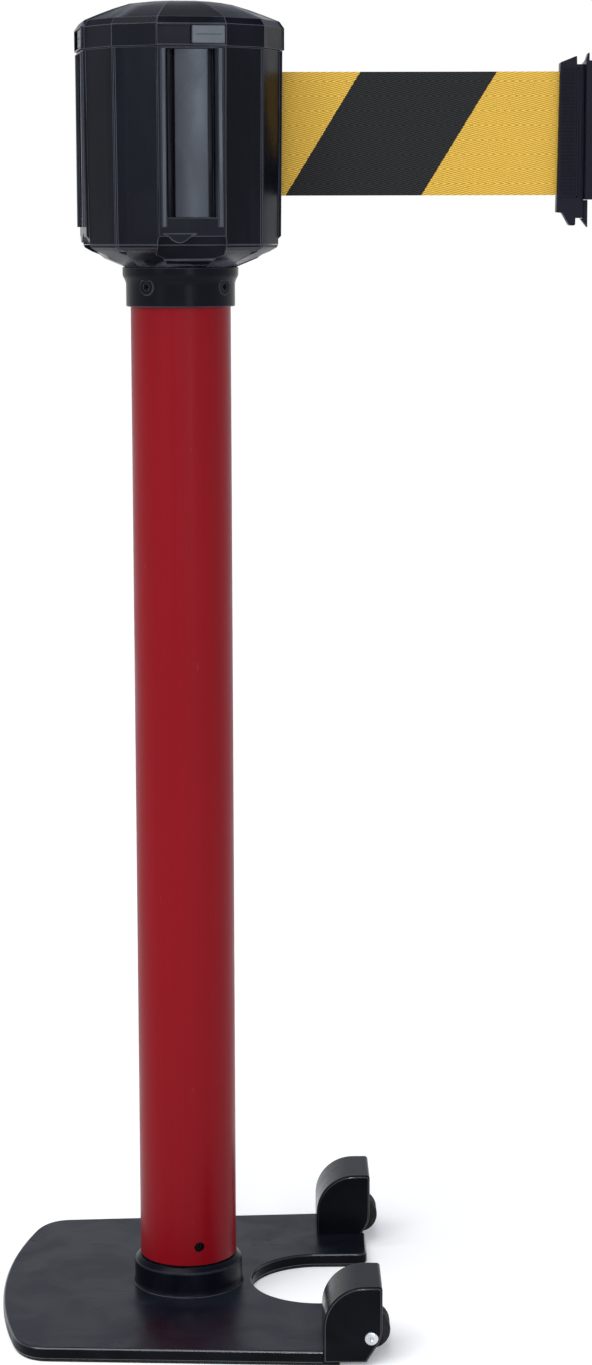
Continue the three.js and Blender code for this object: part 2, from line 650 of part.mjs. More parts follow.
// ---------- spool ----------

const drum = ring([
  [7, 843], [9.5, 843], [9.5, 863.5], [DRUM_FLANGE, 863.5], [DRUM_FLANGE, 866.5], [DRUM_RADIUS, 866.5],
  [DRUM_RADIUS, 962.4], [DRUM_FLANGE, 962.4], [DRUM_FLANGE, 964.2], [7, 964.2],
], 32);
add(head, "spool_drum", drum, finishes.innerPlastic());
add(head, "spool_shaft", cylinderZ(SHAFT_RADIUS, 806, 972, 16), finishes.steel());
add(head, "shaft_nut", cut(cylinderZ(7.5, 806.5, 810.6, 6), cylinderZ(SHAFT_RADIUS + 0.1, 800, 812, 16)),
  finishes.steel());
add(head, "lower_bush", tubeBetween(SHAFT_RADIUS + 0.2, 6.7, 845, 857, 16), finishes.steel());
add(head, "upper_bush", tubeBetween(SHAFT_RADIUS + 0.2, 6.7, 950, 962, 16), finishes.steel());
add(head, "shaft_clip", tubeBetween(SHAFT_RADIUS + 0.1, 8, 966, 967.2, 16), finishes.springSteel());

const springCup = ring([
  [SHAFT_RADIUS + 0.3, 834], [38, 834], [38, 861], [36, 861], [36, 836.5], [SHAFT_RADIUS + 0.3, 836.5],
], 32);
add(head, "spring_cup", springCup, finishes.innerPlastic());

// The power spring is one strip wound as a spiral, from the drum's arbor out to the cup.
function makeSpring() {
  const turns = 6;
  const steps = 14 * turns;
  const edge = (extra) => Array.from({ length: steps + 1 }, (_, i) => {
    const radius = THREE.MathUtils.lerp(10.6, SPRING_OUTER, i / steps) + extra;
    const angle = (i / steps) * turns * 2 * Math.PI;
    return [radius * Math.cos(angle), radius * Math.sin(angle)];
  });
  return extrudeUp(outline([...edge(0), ...edge(0.9).reverse()]), 839, 857);
}

add(head, "power_spring", makeSpring(), finishes.springSteel());

// ---------- belt ----------

function tangentPoint(radius) {
  const distance = Math.hypot(BELT_BEND_X, BELT_Y);
  const angle = Math.atan2(BELT_Y, BELT_BEND_X) + Math.acos(radius / distance);
  return [radius * Math.cos(angle), radius * Math.sin(angle)];
}

function offsetPath(path, offset) {
  return path.map(([x, y], i) => {
    const before = path[Math.max(i - 1, 0)];
    const after = path[Math.min(i + 1, path.length - 1)];
    const direction = new THREE.Vector2(after[0] - before[0], after[1] - before[1]).normalize();
    return [x - direction.y * offset, y + direction.x * offset];
  });
}

const OUTLET_X = 77;
const innerPath = [
  tangentPoint(COIL_RADIUS + BELT_THICK / 2 + GAP), [BELT_BEND_X, BELT_Y], [OUTLET_X - GAP, BELT_Y],
];
const innerRun = outline([
  ...offsetPath(innerPath, -BELT_THICK / 2), ...offsetPath(innerPath, BELT_THICK / 2).reverse(),
]);

const coil = tubeBetween(DRUM_RADIUS + GAP, COIL_RADIUS, BELT_BOTTOM, BELT_TOP, 32);
add(belt, "belt_coil", coil, finishes.webbing());
add(belt, "belt_inner_run", extrudeUp(innerRun, BELT_BOTTOM, BELT_TOP), finishes.webbing());
add(belt, "belt_span", box(OUTLET_X, CLIP_LEFT + 10, BELT_Y - BELT_THICK / 2, BELT_Y + BELT_THICK / 2,
  BELT_BOTTOM, BELT_TOP), finishes.webbing());

// ---------- clip ----------

const clipGroup = new THREE.Group();
clipGroup.position.y = BELT_Y;
belt.add(clipGroup);

const clipOutline = outline([
  [CLIP_LEFT, 855.3], [CLIP_LEFT + 4.4, 855], [CLIP_LEFT + 9.9, 845.4], [CLIP_NECK, 845.4], [CLIP_NECK, 851],
  [CLIP_RIGHT - 0.2, 851], [CLIP_RIGHT - 0.2, 965.7], [CLIP_NECK, 965.7], [CLIP_NECK - 0.2, 972],
  [CLIP_LEFT + 1.6, 967],
]);
const CLIP_SCREWS = [858, 914, 963];

function clipHalf(side) {
  const split = BELT_THICK / 2 + 0.2;
  const y = [side * split, side * CLIP_HALF_THICK].sort((a, b) => a - b);
  const plate = extrudeAcross(clipOutline, y[0], y[1]);
  const holes = CLIP_SCREWS.map((z) => cylinderY(1.9, -10, 10).translate(CLIP_SCREW_X, 0, z));
  const seats = CLIP_SCREWS.map((z) => {
    return cylinderY(3.4, CLIP_HALF_THICK - 2.2, 12).translate(CLIP_SCREW_X, 0, z);
  });
  const blind = CLIP_SCREWS.map((z) => cylinderY(1.9, -4.5, 2).translate(CLIP_SCREW_X, 0, z));
  return side > 0 ? cut(plate, ...holes, ...seats) : cut(plate, ...blind);
}

add(clipGroup, "clip_shell_front", clipHalf(-1), finishes.clipPlastic());
add(clipGroup, "clip_shell_rear", clipHalf(1), finishes.clipPlastic());

CLIP_SCREWS.forEach((z, i) => {
  const screwHead = cylinderY(3.1, CLIP_HALF_THICK - 2, CLIP_HALF_THICK - 0.2, 16);
  const shank = cylinderY(1.6, -4.2, CLIP_HALF_THICK - 1, 12);
  const screw = join(screwHead, shank).translate(CLIP_SCREW_X, 0, z);
  add(clipGroup, `clip_screw_${i + 1}`, screw, finishes.springSteel());
});

// The latch is a cross plate with two legs that hook into a receiver's grooves.
function makeLatch() {
  const half = RECEIVER_HALF + 3.7;
  const x0 = CLIP_RIGHT;
  const x1 = CLIP_RIGHT + LATCH_THICK;
  const plate = box(x0, x1, -half, half, 865, 968);
  const legs = [1, -1].map((side) => {
    const y = [side * (RECEIVER_HALF + 0.6), side * half].sort((a, b) => a - b);
    return box(x1 - 1, x1 + LATCH_LEG, y[0], y[1], 865, 968);
  });
  const hornOutline = outline([[x0, 960], [x1, 960], [x1, 974.2], [x0 + 2.4, 974.2], [x0, 967]]);
  const horn = extrudeAcross(hornOutline, -6, 6);
  return join(plate, ...legs, horn);
}

add(clipGroup, "clip_latch", makeLatch(), finishes.clipPlastic());
const hookOutline = outline([
  [CLIP_NECK + 4, 850.7], [CLIP_RIGHT + LATCH_THICK, 843.9], [CLIP_RIGHT + LATCH_THICK, 864.6],
  [CLIP_RIGHT + 0.1, 864.6], [CLIP_RIGHT + 0.1, 850.7],
]);
add(clipGroup, "clip_release_hook", extrudeAcross(hookOutline, -4, 4), finishes.clipPlastic());

export default stanchion;
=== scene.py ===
"""Looks of the retractable belt stanchion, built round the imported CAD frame.

Lengths are millimetres until a mesh is made. +X is the side the belt leaves by, +Z is up.
"""
import math

import bmesh
import bpy
from mathutils import Matrix, Vector


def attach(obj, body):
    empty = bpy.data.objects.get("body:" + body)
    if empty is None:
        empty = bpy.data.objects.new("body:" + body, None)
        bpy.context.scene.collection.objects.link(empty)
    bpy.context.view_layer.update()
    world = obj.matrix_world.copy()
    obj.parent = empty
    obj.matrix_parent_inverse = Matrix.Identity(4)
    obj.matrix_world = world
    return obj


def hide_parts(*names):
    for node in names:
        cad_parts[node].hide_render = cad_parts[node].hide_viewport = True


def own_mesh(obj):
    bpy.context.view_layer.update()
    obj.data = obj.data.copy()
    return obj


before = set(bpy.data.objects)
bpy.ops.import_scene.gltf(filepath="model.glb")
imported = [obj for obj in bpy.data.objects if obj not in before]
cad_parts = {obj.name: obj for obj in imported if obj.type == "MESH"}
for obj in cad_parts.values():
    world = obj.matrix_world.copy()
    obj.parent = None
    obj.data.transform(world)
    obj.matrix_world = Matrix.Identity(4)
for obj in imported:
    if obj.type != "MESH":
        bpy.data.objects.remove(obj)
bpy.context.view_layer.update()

MM = 0.001
GAP = 0.3             # clearance between pieces that touch
OVERCUT = 5           # how far a cutter reaches past the faces that it cuts

# ---------- dimensions in millimetres, the CAD source's own wherever it has them ----------

PAD_THICK, PLATE_TOP = 2.0, 11.5
BASE_LEFT, BASE_RIGHT, BASE_HALF_LEFT, BASE_HALF_RIGHT = -147.0, 145.0, 141.5, 157.5
BASE_BOW, BASE_CORNER, BASE_CORNER_SLANT = 15.0, 28.0, 7.0
NOTCH_RADIUS, NOTCH_CENTRE_X, ARM_CORNER = 54.0, 105.0, 8.0
BOLT_HOLE_RADIUS, WASHER_HOLE_RADIUS, WASHER_HOLE_TOP = 5.6, 11.5, 9.0
AXLE_X, AXLE_Z, AXLE_RADIUS, WHEEL_Y = 140.6, 22.5, 4.0, 129.5
WHEEL_WIDTH, TYRE_RADIUS, HUB_RADIUS, TREAD_GROOVES = 24.0, 15.0, 8.5, (-6.5, 0, 6.5)
COVER_LEFT, COVER_RIGHT, COVER_TOP, COVER_INNER_Y, COVER_OUTER_Y = 104.6, 149.0, 62.0, 101.5, 157.0
COVER_WALL, COVER_SKIRT, COVER_HEEL = 4.0, 3.0, 119.0
TUBE_RADIUS, TUBE_WALL, TUBE_BOTTOM, TUBE_TOP = 38.1, 1.6, 36.0, 808.0
RING_RADIUS, RING_TOP = 42.8, 31.0
SPIGOT_RADIUS = TUBE_RADIUS - TUBE_WALL - 0.4
FOOT_SCREW_Z, FOOT_SCREW_TURN, FOOT_HOLE_RADIUS = 51.0, -75.2, 4.1
HEAD_YAW = math.radians(8.8)
COLLAR_BOTTOM, COLLAR_TOP, COLLAR_RADIUS = 785.4, 815.0, 41.4
FLARE_BOTTOM, FLARE_TOP, FLANGE_RADIUS = 804.0, 808.5, 44.0
COLLAR_SCREW_Z, COLLAR_BOSS_RADIUS, COLLAR_HOLE_RADIUS = 800.5, 6.2, 2.8
COLLAR_SCREW_TURNS = (45, 135, 225, 315)
CHANNEL_FLOOR, CHANNEL_BOTTOM, CHANNEL_TOP = 62.0, 851.5, 973.2
RECEIVER_HALF, RECEIVER_FACE = 12.5, 73.0
STATION_HALF, STATION_FACE = 25.4, 75.6
RAIL_INNER, RAIL_OUTER, RAIL_BOTTOM = 18.9, 23.0, 845.0
LOCK_BOTTOM, LOCK_TOP, LOCK_WIDTH, LOCK_FLOOR = 976.4, 989.8, 24.6, 70.5
GRIP_BOTTOM, GRIP_TOP = 982.7, 983.5
BELT_BOTTOM, BELT_TOP, BELT_Y, OUTLET_X = 868.3, 960.6, 11.6, 77.0
BELT_HALF_THICK, COIL_INNER, COIL_RADIUS = 0.5, 16.3, 30.0
CLIP_LEFT, CLIP_NECK, CLIP_RIGHT, CLIP_HALF_THICK = 286.0, 300.4, 306.4, 7.0
CLIP_SCREW_X, CLIP_SCREWS = 298.5, (858, 914, 963)
STATIONS = {"front": -90, "rear": 90, "left": 180}


# ---------- camera, floor and light ----------

def make_camera():
    data = bpy.data.cameras.new("camera")
    data.lens = 76.4
    data.sensor_width = 36.0
    data.clip_end = 100.0
    camera = bpy.data.objects.new("camera", data)
    camera.location = (0.0607, -2.2231, 0.8426)
    camera.rotation_euler = (math.pi / 2 - 0.155, 0.0022, -0.0122)
    bpy.context.collection.objects.link(camera)
    bpy.context.scene.camera = camera


def add_light(name, place, target, size, power, colour=(1, 1, 1)):
    data = bpy.data.lights.new(name, "AREA")
    data.shape = "RECTANGLE"
    data.size, data.size_y = size
    data.energy = power
    data.color = colour
    light = bpy.data.objects.new(name, data)
    light.location = place
    light.rotation_euler = (Vector(target) - Vector(place)).to_track_quat("-Z", "Y").to_euler()
    bpy.context.collection.objects.link(light)


def add_sun(towards, strength):
    data = bpy.data.lights.new("sun", "SUN")
    data.energy = strength
    data.angle = math.radians(50)
    light = bpy.data.objects.new("sun", data)
    light.rotation_euler = Vector(towards).to_track_quat("Z", "Y").to_euler()
    bpy.context.collection.objects.link(light)


def make_world():
    world = bpy.data.worlds.new("studio")
    world.use_nodes = True
    nodes, links = world.node_tree.nodes, world.node_tree.links
    background = nodes["Background"]
    where = nodes.new("ShaderNodeTexCoord")
    split = nodes.new("ShaderNodeSeparateXYZ")
    ramp = nodes.new("ShaderNodeValToRGB")
    links.new(where.outputs["Generated"], split.inputs[0])
    links.new(split.outputs["Z"], ramp.inputs[0])
    links.new(ramp.outputs[0], background.inputs["Color"])
    stops = ramp.color_ramp.elements
    stops[0].position, stops[0].color = 0.12, (1.0, 1.0, 1.0, 1)
    stops[1].position, stops[1].color = 0.75, (0.16, 0.17, 0.19, 1)
    middle = stops.new(0.34)
    middle.color = (0.56, 0.60, 0.70, 1)
    background.inputs["Strength"].default_value = 1.0
    bpy.context.scene.world = world


def make_stage():
    bm = bmesh.new()
    bmesh.ops.create_grid(bm, x_segments=8, y_segments=8, size=30)
    mesh = bpy.data.meshes.new("floor")
    bm.to_mesh(mesh)
    bm.free()
    floor = bpy.data.objects.new("floor", mesh)
    bpy.context.collection.objects.link(floor)
    paper = bpy.data.materials.new("floor_paper")
    paper.use_nodes = True
    shader = paper.node_tree.nodes["Principled BSDF"]
    shader.inputs["Base Color"].default_value = (0.88, 0.88, 0.88, 1)
    shader.inputs["Roughness"].default_value = 0.9
    shader.inputs["Specular IOR Level"].default_value = 0.1
    shader.inputs["Emission Color"].default_value = (1, 1, 1, 1)
    shader.inputs["Emission Strength"].default_value = 0.2
    mesh.materials.append(paper)


make_camera()
make_world()
make_stage()
add_sun((-0.35, -0.45, 1.0), 2.3)
add_light("key_left", (-2.13, -2.37, 1.6), (0, 0, 0.75), (0.6, 1.8), 11, (0.72, 0.84, 1.0))
add_light("front_right", (1.04, -2.87, 1.25), (0, 0, 0.9), (0.5, 1.2), 14, (0.72, 0.84, 1.0))
add_light("lamp", (-0.06, -2.8, 1.8), (0, 0, 0.4), (0.4, 0.25), 15)
bpy.context.scene.view_settings.view_transform = "Standard"


# ---------- procedural materials ----------

class Look:
    """One procedural material. Its patterns follow the object's own metres, so their scale is real."""

    def __init__(self, name, colour, roughness, **sockets):
        self.material = bpy.data.materials.new(name)
        self.material.use_nodes = True
        self.nodes = self.material.node_tree.nodes
        self.links = self.material.node_tree.links
        self.shader = self.nodes["Principled BSDF"]
        self.shader.inputs["Base Color"].default_value = (*colour, 1)
        self.shader.inputs["Roughness"].default_value = roughness
        for socket, value in sockets.items():
            self.shader.inputs[socket.replace("_", " ")].default_value = value
        self.place = self.nodes.new("ShaderNodeTexCoord").outputs["Object"]

    def wire(self, source, target):
        if hasattr(source, "links"):
            self.links.new(source, target)
        else:
            target.default_value = source

    def stretched(self, scale):
        node = self.nodes.new("ShaderNodeVectorMath")
        node.operation = "MULTIPLY"
        self.links.new(self.place, node.inputs[0])
        node.inputs[1].default_value = scale
        return node.outputs[0]

    def noise(self, size, detail=3.0, stretch=(1, 1, 1), distortion=0.0):
        """Noise whose features are about size millimetres across, longer where stretch is below 1."""
        node = self.nodes.new("ShaderNodeTexNoise")
        self.links.new(self.stretched(tuple(s / (size * MM) for s in stretch)), node.inputs["Vector"])
        node.inputs["Scale"].default_value = 1.0
        node.inputs["Detail"].default_value = detail
        node.inputs["Distortion"].default_value = distortion
        return node.outputs["Fac"]

    def axis(self, name):
        node = self.nodes.new("ShaderNodeSeparateXYZ")
        self.links.new(self.place, node.inputs[0])
        return node.outputs[name]

    def math(self, operation, a, b=0.0, c=0.0, clamp=False):
        node = self.nodes.new("ShaderNodeMath")
        node.operation = operation
        node.use_clamp = clamp
        for value, socket in zip((a, b, c), node.inputs):
            self.wire(value, socket)
        return node.outputs[0]

    def wave(self, value, period):
        """A sine wave between 0 and 1."""
        turn = self.math("MULTIPLY", value, 2 * math.pi / period)
        return self.math("MULTIPLY_ADD", self.math("SINE", turn), 0.5, 0.5)

    def remap(self, value, low, high, to_low=0.0, to_high=1.0):
        node = self.nodes.new("ShaderNodeMapRange")
        node.interpolation_type = "SMOOTHSTEP"
        for socket, x in zip(node.inputs, (value, low, high, to_low, to_high)):
            self.wire(x, socket)
        return node.outputs[0]

    def mix(self, factor, a, b):
        node = self.nodes.new("ShaderNodeMix")
        node.data_type = "RGBA"
        self.wire(factor, node.inputs["Factor"])
        for value, socket in ((a, node.inputs["A"]), (b, node.inputs["B"])):
            self.wire((*value, 1) if isinstance(value, tuple) else value, socket)
        return node.outputs["Result"]

    def edges(self, width):
        """1 along sharp edges, 0 on flat and gently curved faces; width is in millimetres."""
        rounded = self.nodes.new("ShaderNodeBevel")
        rounded.samples = 8
        rounded.inputs["Radius"].default_value = width * MM
        flat = self.nodes.new("ShaderNodeNewGeometry")
        agree = self.nodes.new("ShaderNodeVectorMath")
        agree.operation = "DOT_PRODUCT"
        self.links.new(rounded.outputs["Normal"], agree.inputs[0])
        self.links.new(flat.outputs["True Normal"], agree.inputs[1])
        return self.remap(self.math("SUBTRACT", 1.0, agree.outputs["Value"]), 0.001, 0.010)

    def colour(self, source):
        self.links.new(source, self.shader.inputs["Base Color"])
        return self

    def roughness(self, source):
        self.links.new(source, self.shader.inputs["Roughness"])
        return self

    def bump(self, *layers):
        """Each layer is (height from 0 to 1, depth in millimetres)."""
        before = None
        for height, depth in layers:
            node = self.nodes.new("ShaderNodeBump")
            node.inputs["Strength"].default_value = 1.0
            node.inputs["Distance"].default_value = depth * MM
            self.links.new(height, node.inputs["Height"])
            if before is not None:
                self.links.new(before, node.inputs["Normal"])
            before = node.outputs["Normal"]
        self.links.new(before, self.shader.inputs["Normal"])
        return self


EDGE_WIDTH = 0.75     # how far the painted edge highlight reaches from a sharp edge


def moulded_plastic(name, dark, light, shine, grain=0.012, edge_highlight=None, **sockets):
    """Injection-moulded plastic: slow waves, cloudy wipe marks, fine dust and thin scratches.

    The colour given for the edges is a painted highlight along sharp edges, where light would catch them; the
    wipe marks break it up at random.
    """
    look = Look(name, dark, shine, **sockets)
    wipes = look.noise(38, 4, (1, 1, 0.45), 0.6)
    dust = look.remap(look.noise(1.1, 2), 0.68, 0.8)
    scratch = look.remap(look.noise(2.2, 2, (1, 1, 0.04), 0.3), 0.70, 0.76)
    tone = look.mix(look.math("MAXIMUM", look.remap(wipes, 0.45, 0.75, 0, 0.5), dust), dark, light)
    if edge_highlight:
        # Painted highlight: the paler edge colour is laid along sharp edges as if they caught the light.
        highlight_mask = look.math("MULTIPLY", look.edges(EDGE_WIDTH), look.remap(wipes, 0.3, 0.6, 0.4, 1.0))
        tone = look.mix(highlight_mask, tone, edge_highlight)
    look.colour(tone)
    rough = look.remap(wipes, 0.3, 0.7, shine - 0.05, shine + 0.1)
    rough = look.math("ADD", rough, look.math("MULTIPLY", scratch, 0.12))
    look.roughness(look.math("ADD", rough, look.math("MULTIPLY", dust, 0.15)))
    look.bump((look.noise(26, 2), 0.12), (look.noise(0.7, 2), grain), (scratch, 0.004))
    return look.material


def powder_coat(name, dark, light, shine, level):
    """Powder-coated steel: orange peel, faint cloudy patches, small scuffs."""
    look = Look(name, dark, shine, Specular_IOR_Level=level)
    cloud = look.noise(45, 5, (1, 1, 1), 0.8)
    speck = look.remap(look.noise(0.9, 2), 0.66, 0.78)
    scuff = look.remap(look.noise(6, 4, (0.25, 1, 1), 1.2), 0.66, 0.72)
    patches = look.remap(cloud, 0.3, 0.75, 0, 0.75)
    tint = look.math("ADD", patches, look.math("MULTIPLY", speck, 0.5), clamp=True)
    look.colour(look.mix(tint, dark, light))
    rough = look.remap(cloud, 0.3, 0.7, shine - 0.07, shine + 0.08)
    look.roughness(look.math("ADD", rough, look.math("MULTIPLY", scuff, 0.15)))
    look.bump((look.noise(2.4, 3), 0.05), (look.noise(0.45, 2), 0.012))
    return look.material


def rubber(name, dark, light):
    look = Look(name, dark, 0.7, Specular_IOR_Level=0.3)
    look.colour(look.mix(look.remap(look.noise(7, 5), 0.35, 0.75), dark, light))
    look.roughness(look.remap(look.noise(3, 3), 0.3, 0.7, 0.6, 0.85))
    look.bump((look.noise(0.6, 3), 0.04), (look.noise(5, 2), 0.08))
    return look.material


def painted_tube(name):
    """Gloss red enamel over a drawn tube: long upright draw lines, light wipe marks and tiny chips."""
    deep, bright, chalk = (0.155, 0.001, 0.004), (0.215, 0.0025, 0.0075), (0.30, 0.045, 0.055)
    look = Look(name, deep, 0.36, Specular_IOR_Level=0.1)
    lines = look.noise(2.6, 3, (1, 1, 0.004))
    clouds = look.noise(60, 4, (1, 1, 0.35), 0.5)
    marks = look.remap(look.noise(5, 3, (1, 1, 0.3), 0.8), 0.715, 0.75)
    blend = look.math("MULTIPLY_ADD", lines, 0.55, look.math("MULTIPLY", clouds, 0.45))
    tone = look.mix(blend, deep, bright)
    look.colour(look.mix(look.math("MULTIPLY", marks, 0.35), tone, chalk))
    rough = look.remap(clouds, 0.3, 0.7, 0.3, 0.42)
    look.roughness(look.math("ADD", rough, look.math("MULTIPLY", marks, 0.2)))
    look.bump((lines, 0.02), (look.noise(1.3, 2), 0.006))
    return look.material


def metal(name, colour, shade, rough, stretch=(1, 1, 0.08)):
    look = Look(name, colour, rough, Metallic=1.0)
    brushed = look.noise(0.5, 3, stretch)
    stain = look.noise(9, 4)
    look.colour(look.mix(look.remap(stain, 0.45, 0.75), colour, shade))
    worn = look.remap(stain, 0.3, 0.7, rough - 0.06, rough + 0.1)
    look.roughness(look.math("ADD", worn, look.math("MULTIPLY", brushed, 0.08)))
    look.bump((brushed, 0.01))
    return look.material


# The belt's stripes lean with height; its herringbone turns back at every band.
STRIPE_START, STRIPE_LEAN, STRIPE_PERIOD = 79.9, 0.616, 207.0
BAND, FIRST_BAND, WHOLE_BANDS = 10.9, 7.2, 9
TWILL_PERIOD, TWILL_SLOPE = 1.55, 0.27
YARN_PERIOD, YARN_SLOPE = 1.15, -0.35


def webbing(name):
    """Herringbone polyester webbing with slanted black and yellow stripes."""
    gold, sheen = (0.6, 0.4, 0.05), {"Sheen_Weight": 0.1, "Sheen_Roughness": 0.5}
    look = Look(name, gold, 0.75, Specular_IOR_Level=0.15, **sheen)
    x = look.math("MULTIPLY", look.axis("X"), 1 / MM)
    z = look.math("SUBTRACT", look.math("MULTIPLY", look.axis("Z"), 1 / MM), BELT_BOTTOM)
    lowest_fold = BELT_TOP - BELT_BOTTOM - FIRST_BAND - WHOLE_BANDS * BAND
    folded = look.math("PINGPONG", look.math("SUBTRACT", z, lowest_fold), BAND)
    ragged = look.math("MULTIPLY", look.math("SUBTRACT", look.noise(1.2, 2), 0.5), 1.6)
    start = look.math("MULTIPLY_ADD", z, STRIPE_LEAN, STRIPE_START)
    lead = look.math("SUBTRACT", look.math("ADD", x, ragged), start)
    turn = look.math("FRACT", look.math("DIVIDE", lead, STRIPE_PERIOD))
    yellow = look.remap(look.math("ABSOLUTE", look.math("SUBTRACT", turn, 0.25)), 0.249, 0.251)
    twill = look.wave(look.math("MULTIPLY_ADD", x, TWILL_SLOPE, folded), TWILL_PERIOD)
    yarn = look.wave(look.math("MULTIPLY_ADD", folded, YARN_SLOPE, x), YARN_PERIOD)
    weave = look.math("MULTIPLY_ADD", twill, 0.7, look.math("MULTIPLY", yarn, 0.3))
    fade = look.noise(30, 4, (1, 1, 1))
    gold = look.mix(weave, (0.22, 0.11, 0.01), (0.80, 0.51, 0.076))
    gold = look.mix(look.remap(fade, 0.35, 0.75, 0, 0.3), gold, (0.54, 0.32, 0.045))
    black = look.mix(weave, (0.001, 0.001, 0.001), (0.022, 0.022, 0.022))
    look.colour(look.mix(yellow, black, gold))
    look.roughness(look.remap(weave, 0, 1, 0.85, 0.62))
    look.bump((weave, 0.22), (look.noise(0.35, 2), 0.05))
    return look.material


# Each plastic is (name, dark colour, light colour, roughness, depth of grain, specular level).
# The paler edge colour given to gloss_black is a painted highlight along its sharp edges.
gloss_black = moulded_plastic(
    "gloss_black_plastic", (0.0025, 0.0028, 0.0056), (0.006, 0.007, 0.013), 0.25,
    edge_highlight=(0.06, 0.064, 0.078), Specular_IOR_Level=0.075)
# The receiver bars' plastic is shinier than the body's, and its lighter colour paints part of the light that
# the bars catch.
bar_black = moulded_plastic(
    "polished_black_plastic", (0.008, 0.0105, 0.018), (0.017, 0.021, 0.032), 0.26, Specular_IOR_Level=0.38)
satin_black = moulded_plastic(
    "satin_black_plastic", (0.004, 0.004, 0.005), (0.010, 0.010, 0.012), 0.32, 0.02, Specular_IOR_Level=0.12)
slate_grey = moulded_plastic(
    "slate_grey_plastic", (0.055, 0.063, 0.072), (0.09, 0.10, 0.11), 0.34, 0.02, Specular_IOR_Level=0.35)
clip_navy = moulded_plastic(
    "navy_plastic", (0.0045, 0.0045, 0.009), (0.008, 0.008, 0.016), 0.3, 0.03, Specular_IOR_Level=0.08)
inner_grey = moulded_plastic("grey_plastic", (0.05, 0.052, 0.056), (0.09, 0.092, 0.096), 0.45, 0.03)

# Each powder coat is (name, dark colour, light colour, roughness, specular level).
plate_black = powder_coat("plate_powder_coat", (0.0042, 0.0052, 0.0095), (0.010, 0.012, 0.020), 0.34, 0.16)
# The rim coat is glossier than the plate's and lighter: its gloss is the coat's own, its lighter colour a
# painted highlight along rounded rims. The side coat is a darker, duller copy of the plate's coat: painted
# shade on upright faces.
plate_rim_lit = powder_coat("plate_rim_coat", (0.016, 0.018, 0.024), (0.034, 0.037, 0.047), 0.16, 0.5)
plate_side_shaded = powder_coat("plate_side_coat", (0.0022, 0.0024, 0.0035), (0.005, 0.0055, 0.008), 0.3, 0.05)
cover_black = powder_coat("cover_gloss_coat", (0.0045, 0.0045, 0.0065), (0.0105, 0.0105, 0.0145), 0.2, 0.075)

rubber_black = rubber("black_rubber", (0.004, 0.004, 0.004), (0.012, 0.0115, 0.011))
red_paint = painted_tube("red_enamel")
bright_steel = metal("bright_steel", (0.62, 0.63, 0.65), (0.42, 0.42, 0.43), 0.24)
dark_steel = metal("dark_steel", (0.10, 0.105, 0.115), (0.055, 0.055, 0.06), 0.34)
black_oxide = metal("black_oxide_steel", (0.012, 0.012, 0.014), (0.006, 0.006, 0.007), 0.4)
zinc_steel = metal("zinc_plated_steel", (0.46, 0.47, 0.48), (0.33, 0.31, 0.27), 0.3)
striped_webbing = webbing("striped_webbing")


# ---------- mesh helpers ----------

CORNER_SHARE = 0.48    # the most of an edge that one rounded corner takes up


def fillet(points, radius, steps=4, closed=True):
    """Rounds the corners of a polyline. radius is one number, or one for each corner."""
    count = len(points)
    radii = radius if isinstance(radius, (list, tuple)) else [radius] * count
    rounded = []
    for i, (x, y) in enumerate(points):
        if radii[i] <= 0 or (not closed and i in (0, count - 1)):
            rounded.append((x, y))
            continue
        here = Vector((x, y))
        before = Vector(points[i - 1]) - here
        after = Vector(points[(i + 1) % count]) - here
        reach = min(radii[i], before.length * CORNER_SHARE, after.length * CORNER_SHARE)
        a, b = here + before.normalized() * reach, here + after.normalized() * reach
        for k in range(steps + 1):
            t = k / steps
            rounded.append(tuple(a * (1 - t) ** 2 + here * 2 * t * (1 - t) + b * t ** 2))
    return rounded


def arc(cx, cy, radius, start, end, steps):
    turns = [math.radians(start + (end - start) * i / steps) for i in range(steps + 1)]
    return [(cx + radius * math.cos(t), cy + radius * math.sin(t)) for t in turns]


def curve(a, control, b, steps):
    a, control, b = Vector(a), Vector(control), Vector(b)
    return [tuple(a * (1 - t) ** 2 + control * 2 * t * (1 - t) + b * t ** 2)
            for t in (i / steps for i in range(steps + 1))]


def lathe(profile, segments=128):
    """A closed ring turned about Z from a closed profile of (radius, z)."""
    bm = bmesh.new()
    loops = []
    for i in range(segments):
        t = 2 * math.pi * i / segments
        loops.append([bm.verts.new((r * math.cos(t), r * math.sin(t), z)) for r, z in profile])
    for i in range(segments):
        a, b = loops[i], loops[(i + 1) % segments]
        for k in range(len(profile)):
            n = (k + 1) % len(profile)
            bm.faces.new((a[k], b[k], b[n], a[n]))
    bmesh.ops.recalc_face_normals(bm, faces=bm.faces)
    return bm


def turned(profile, segments=64):
    """A solid turned about Z from a profile of (radius, z) that starts and ends on the axis."""
    bm = bmesh.new()
    middle = profile[1:-1]
    foot, tip = bm.verts.new((0, 0, profile[0][1])), bm.verts.new((0, 0, profile[-1][1]))
    loops = []
    for i in range(segments):
        t = 2 * math.pi * i / segments
        loops.append([bm.verts.new((r * math.cos(t), r * math.sin(t), z)) for r, z in middle])
    for i in range(segments):
        a, b = loops[i], loops[(i + 1) % segments]
        bm.faces.new((foot, b[0], a[0]))
        bm.faces.new((tip, a[-1], b[-1]))
        for k in range(len(middle) - 1):
            bm.faces.new((a[k], b[k], b[k + 1], a[k + 1]))
    bmesh.ops.recalc_face_normals(bm, faces=bm.faces)
    return bm


SWAP_Y_Z = Matrix(((1, 0, 0, 0), (0, 0, 1, 0), (0, 1, 0, 0), (0, 0, 0, 1)))


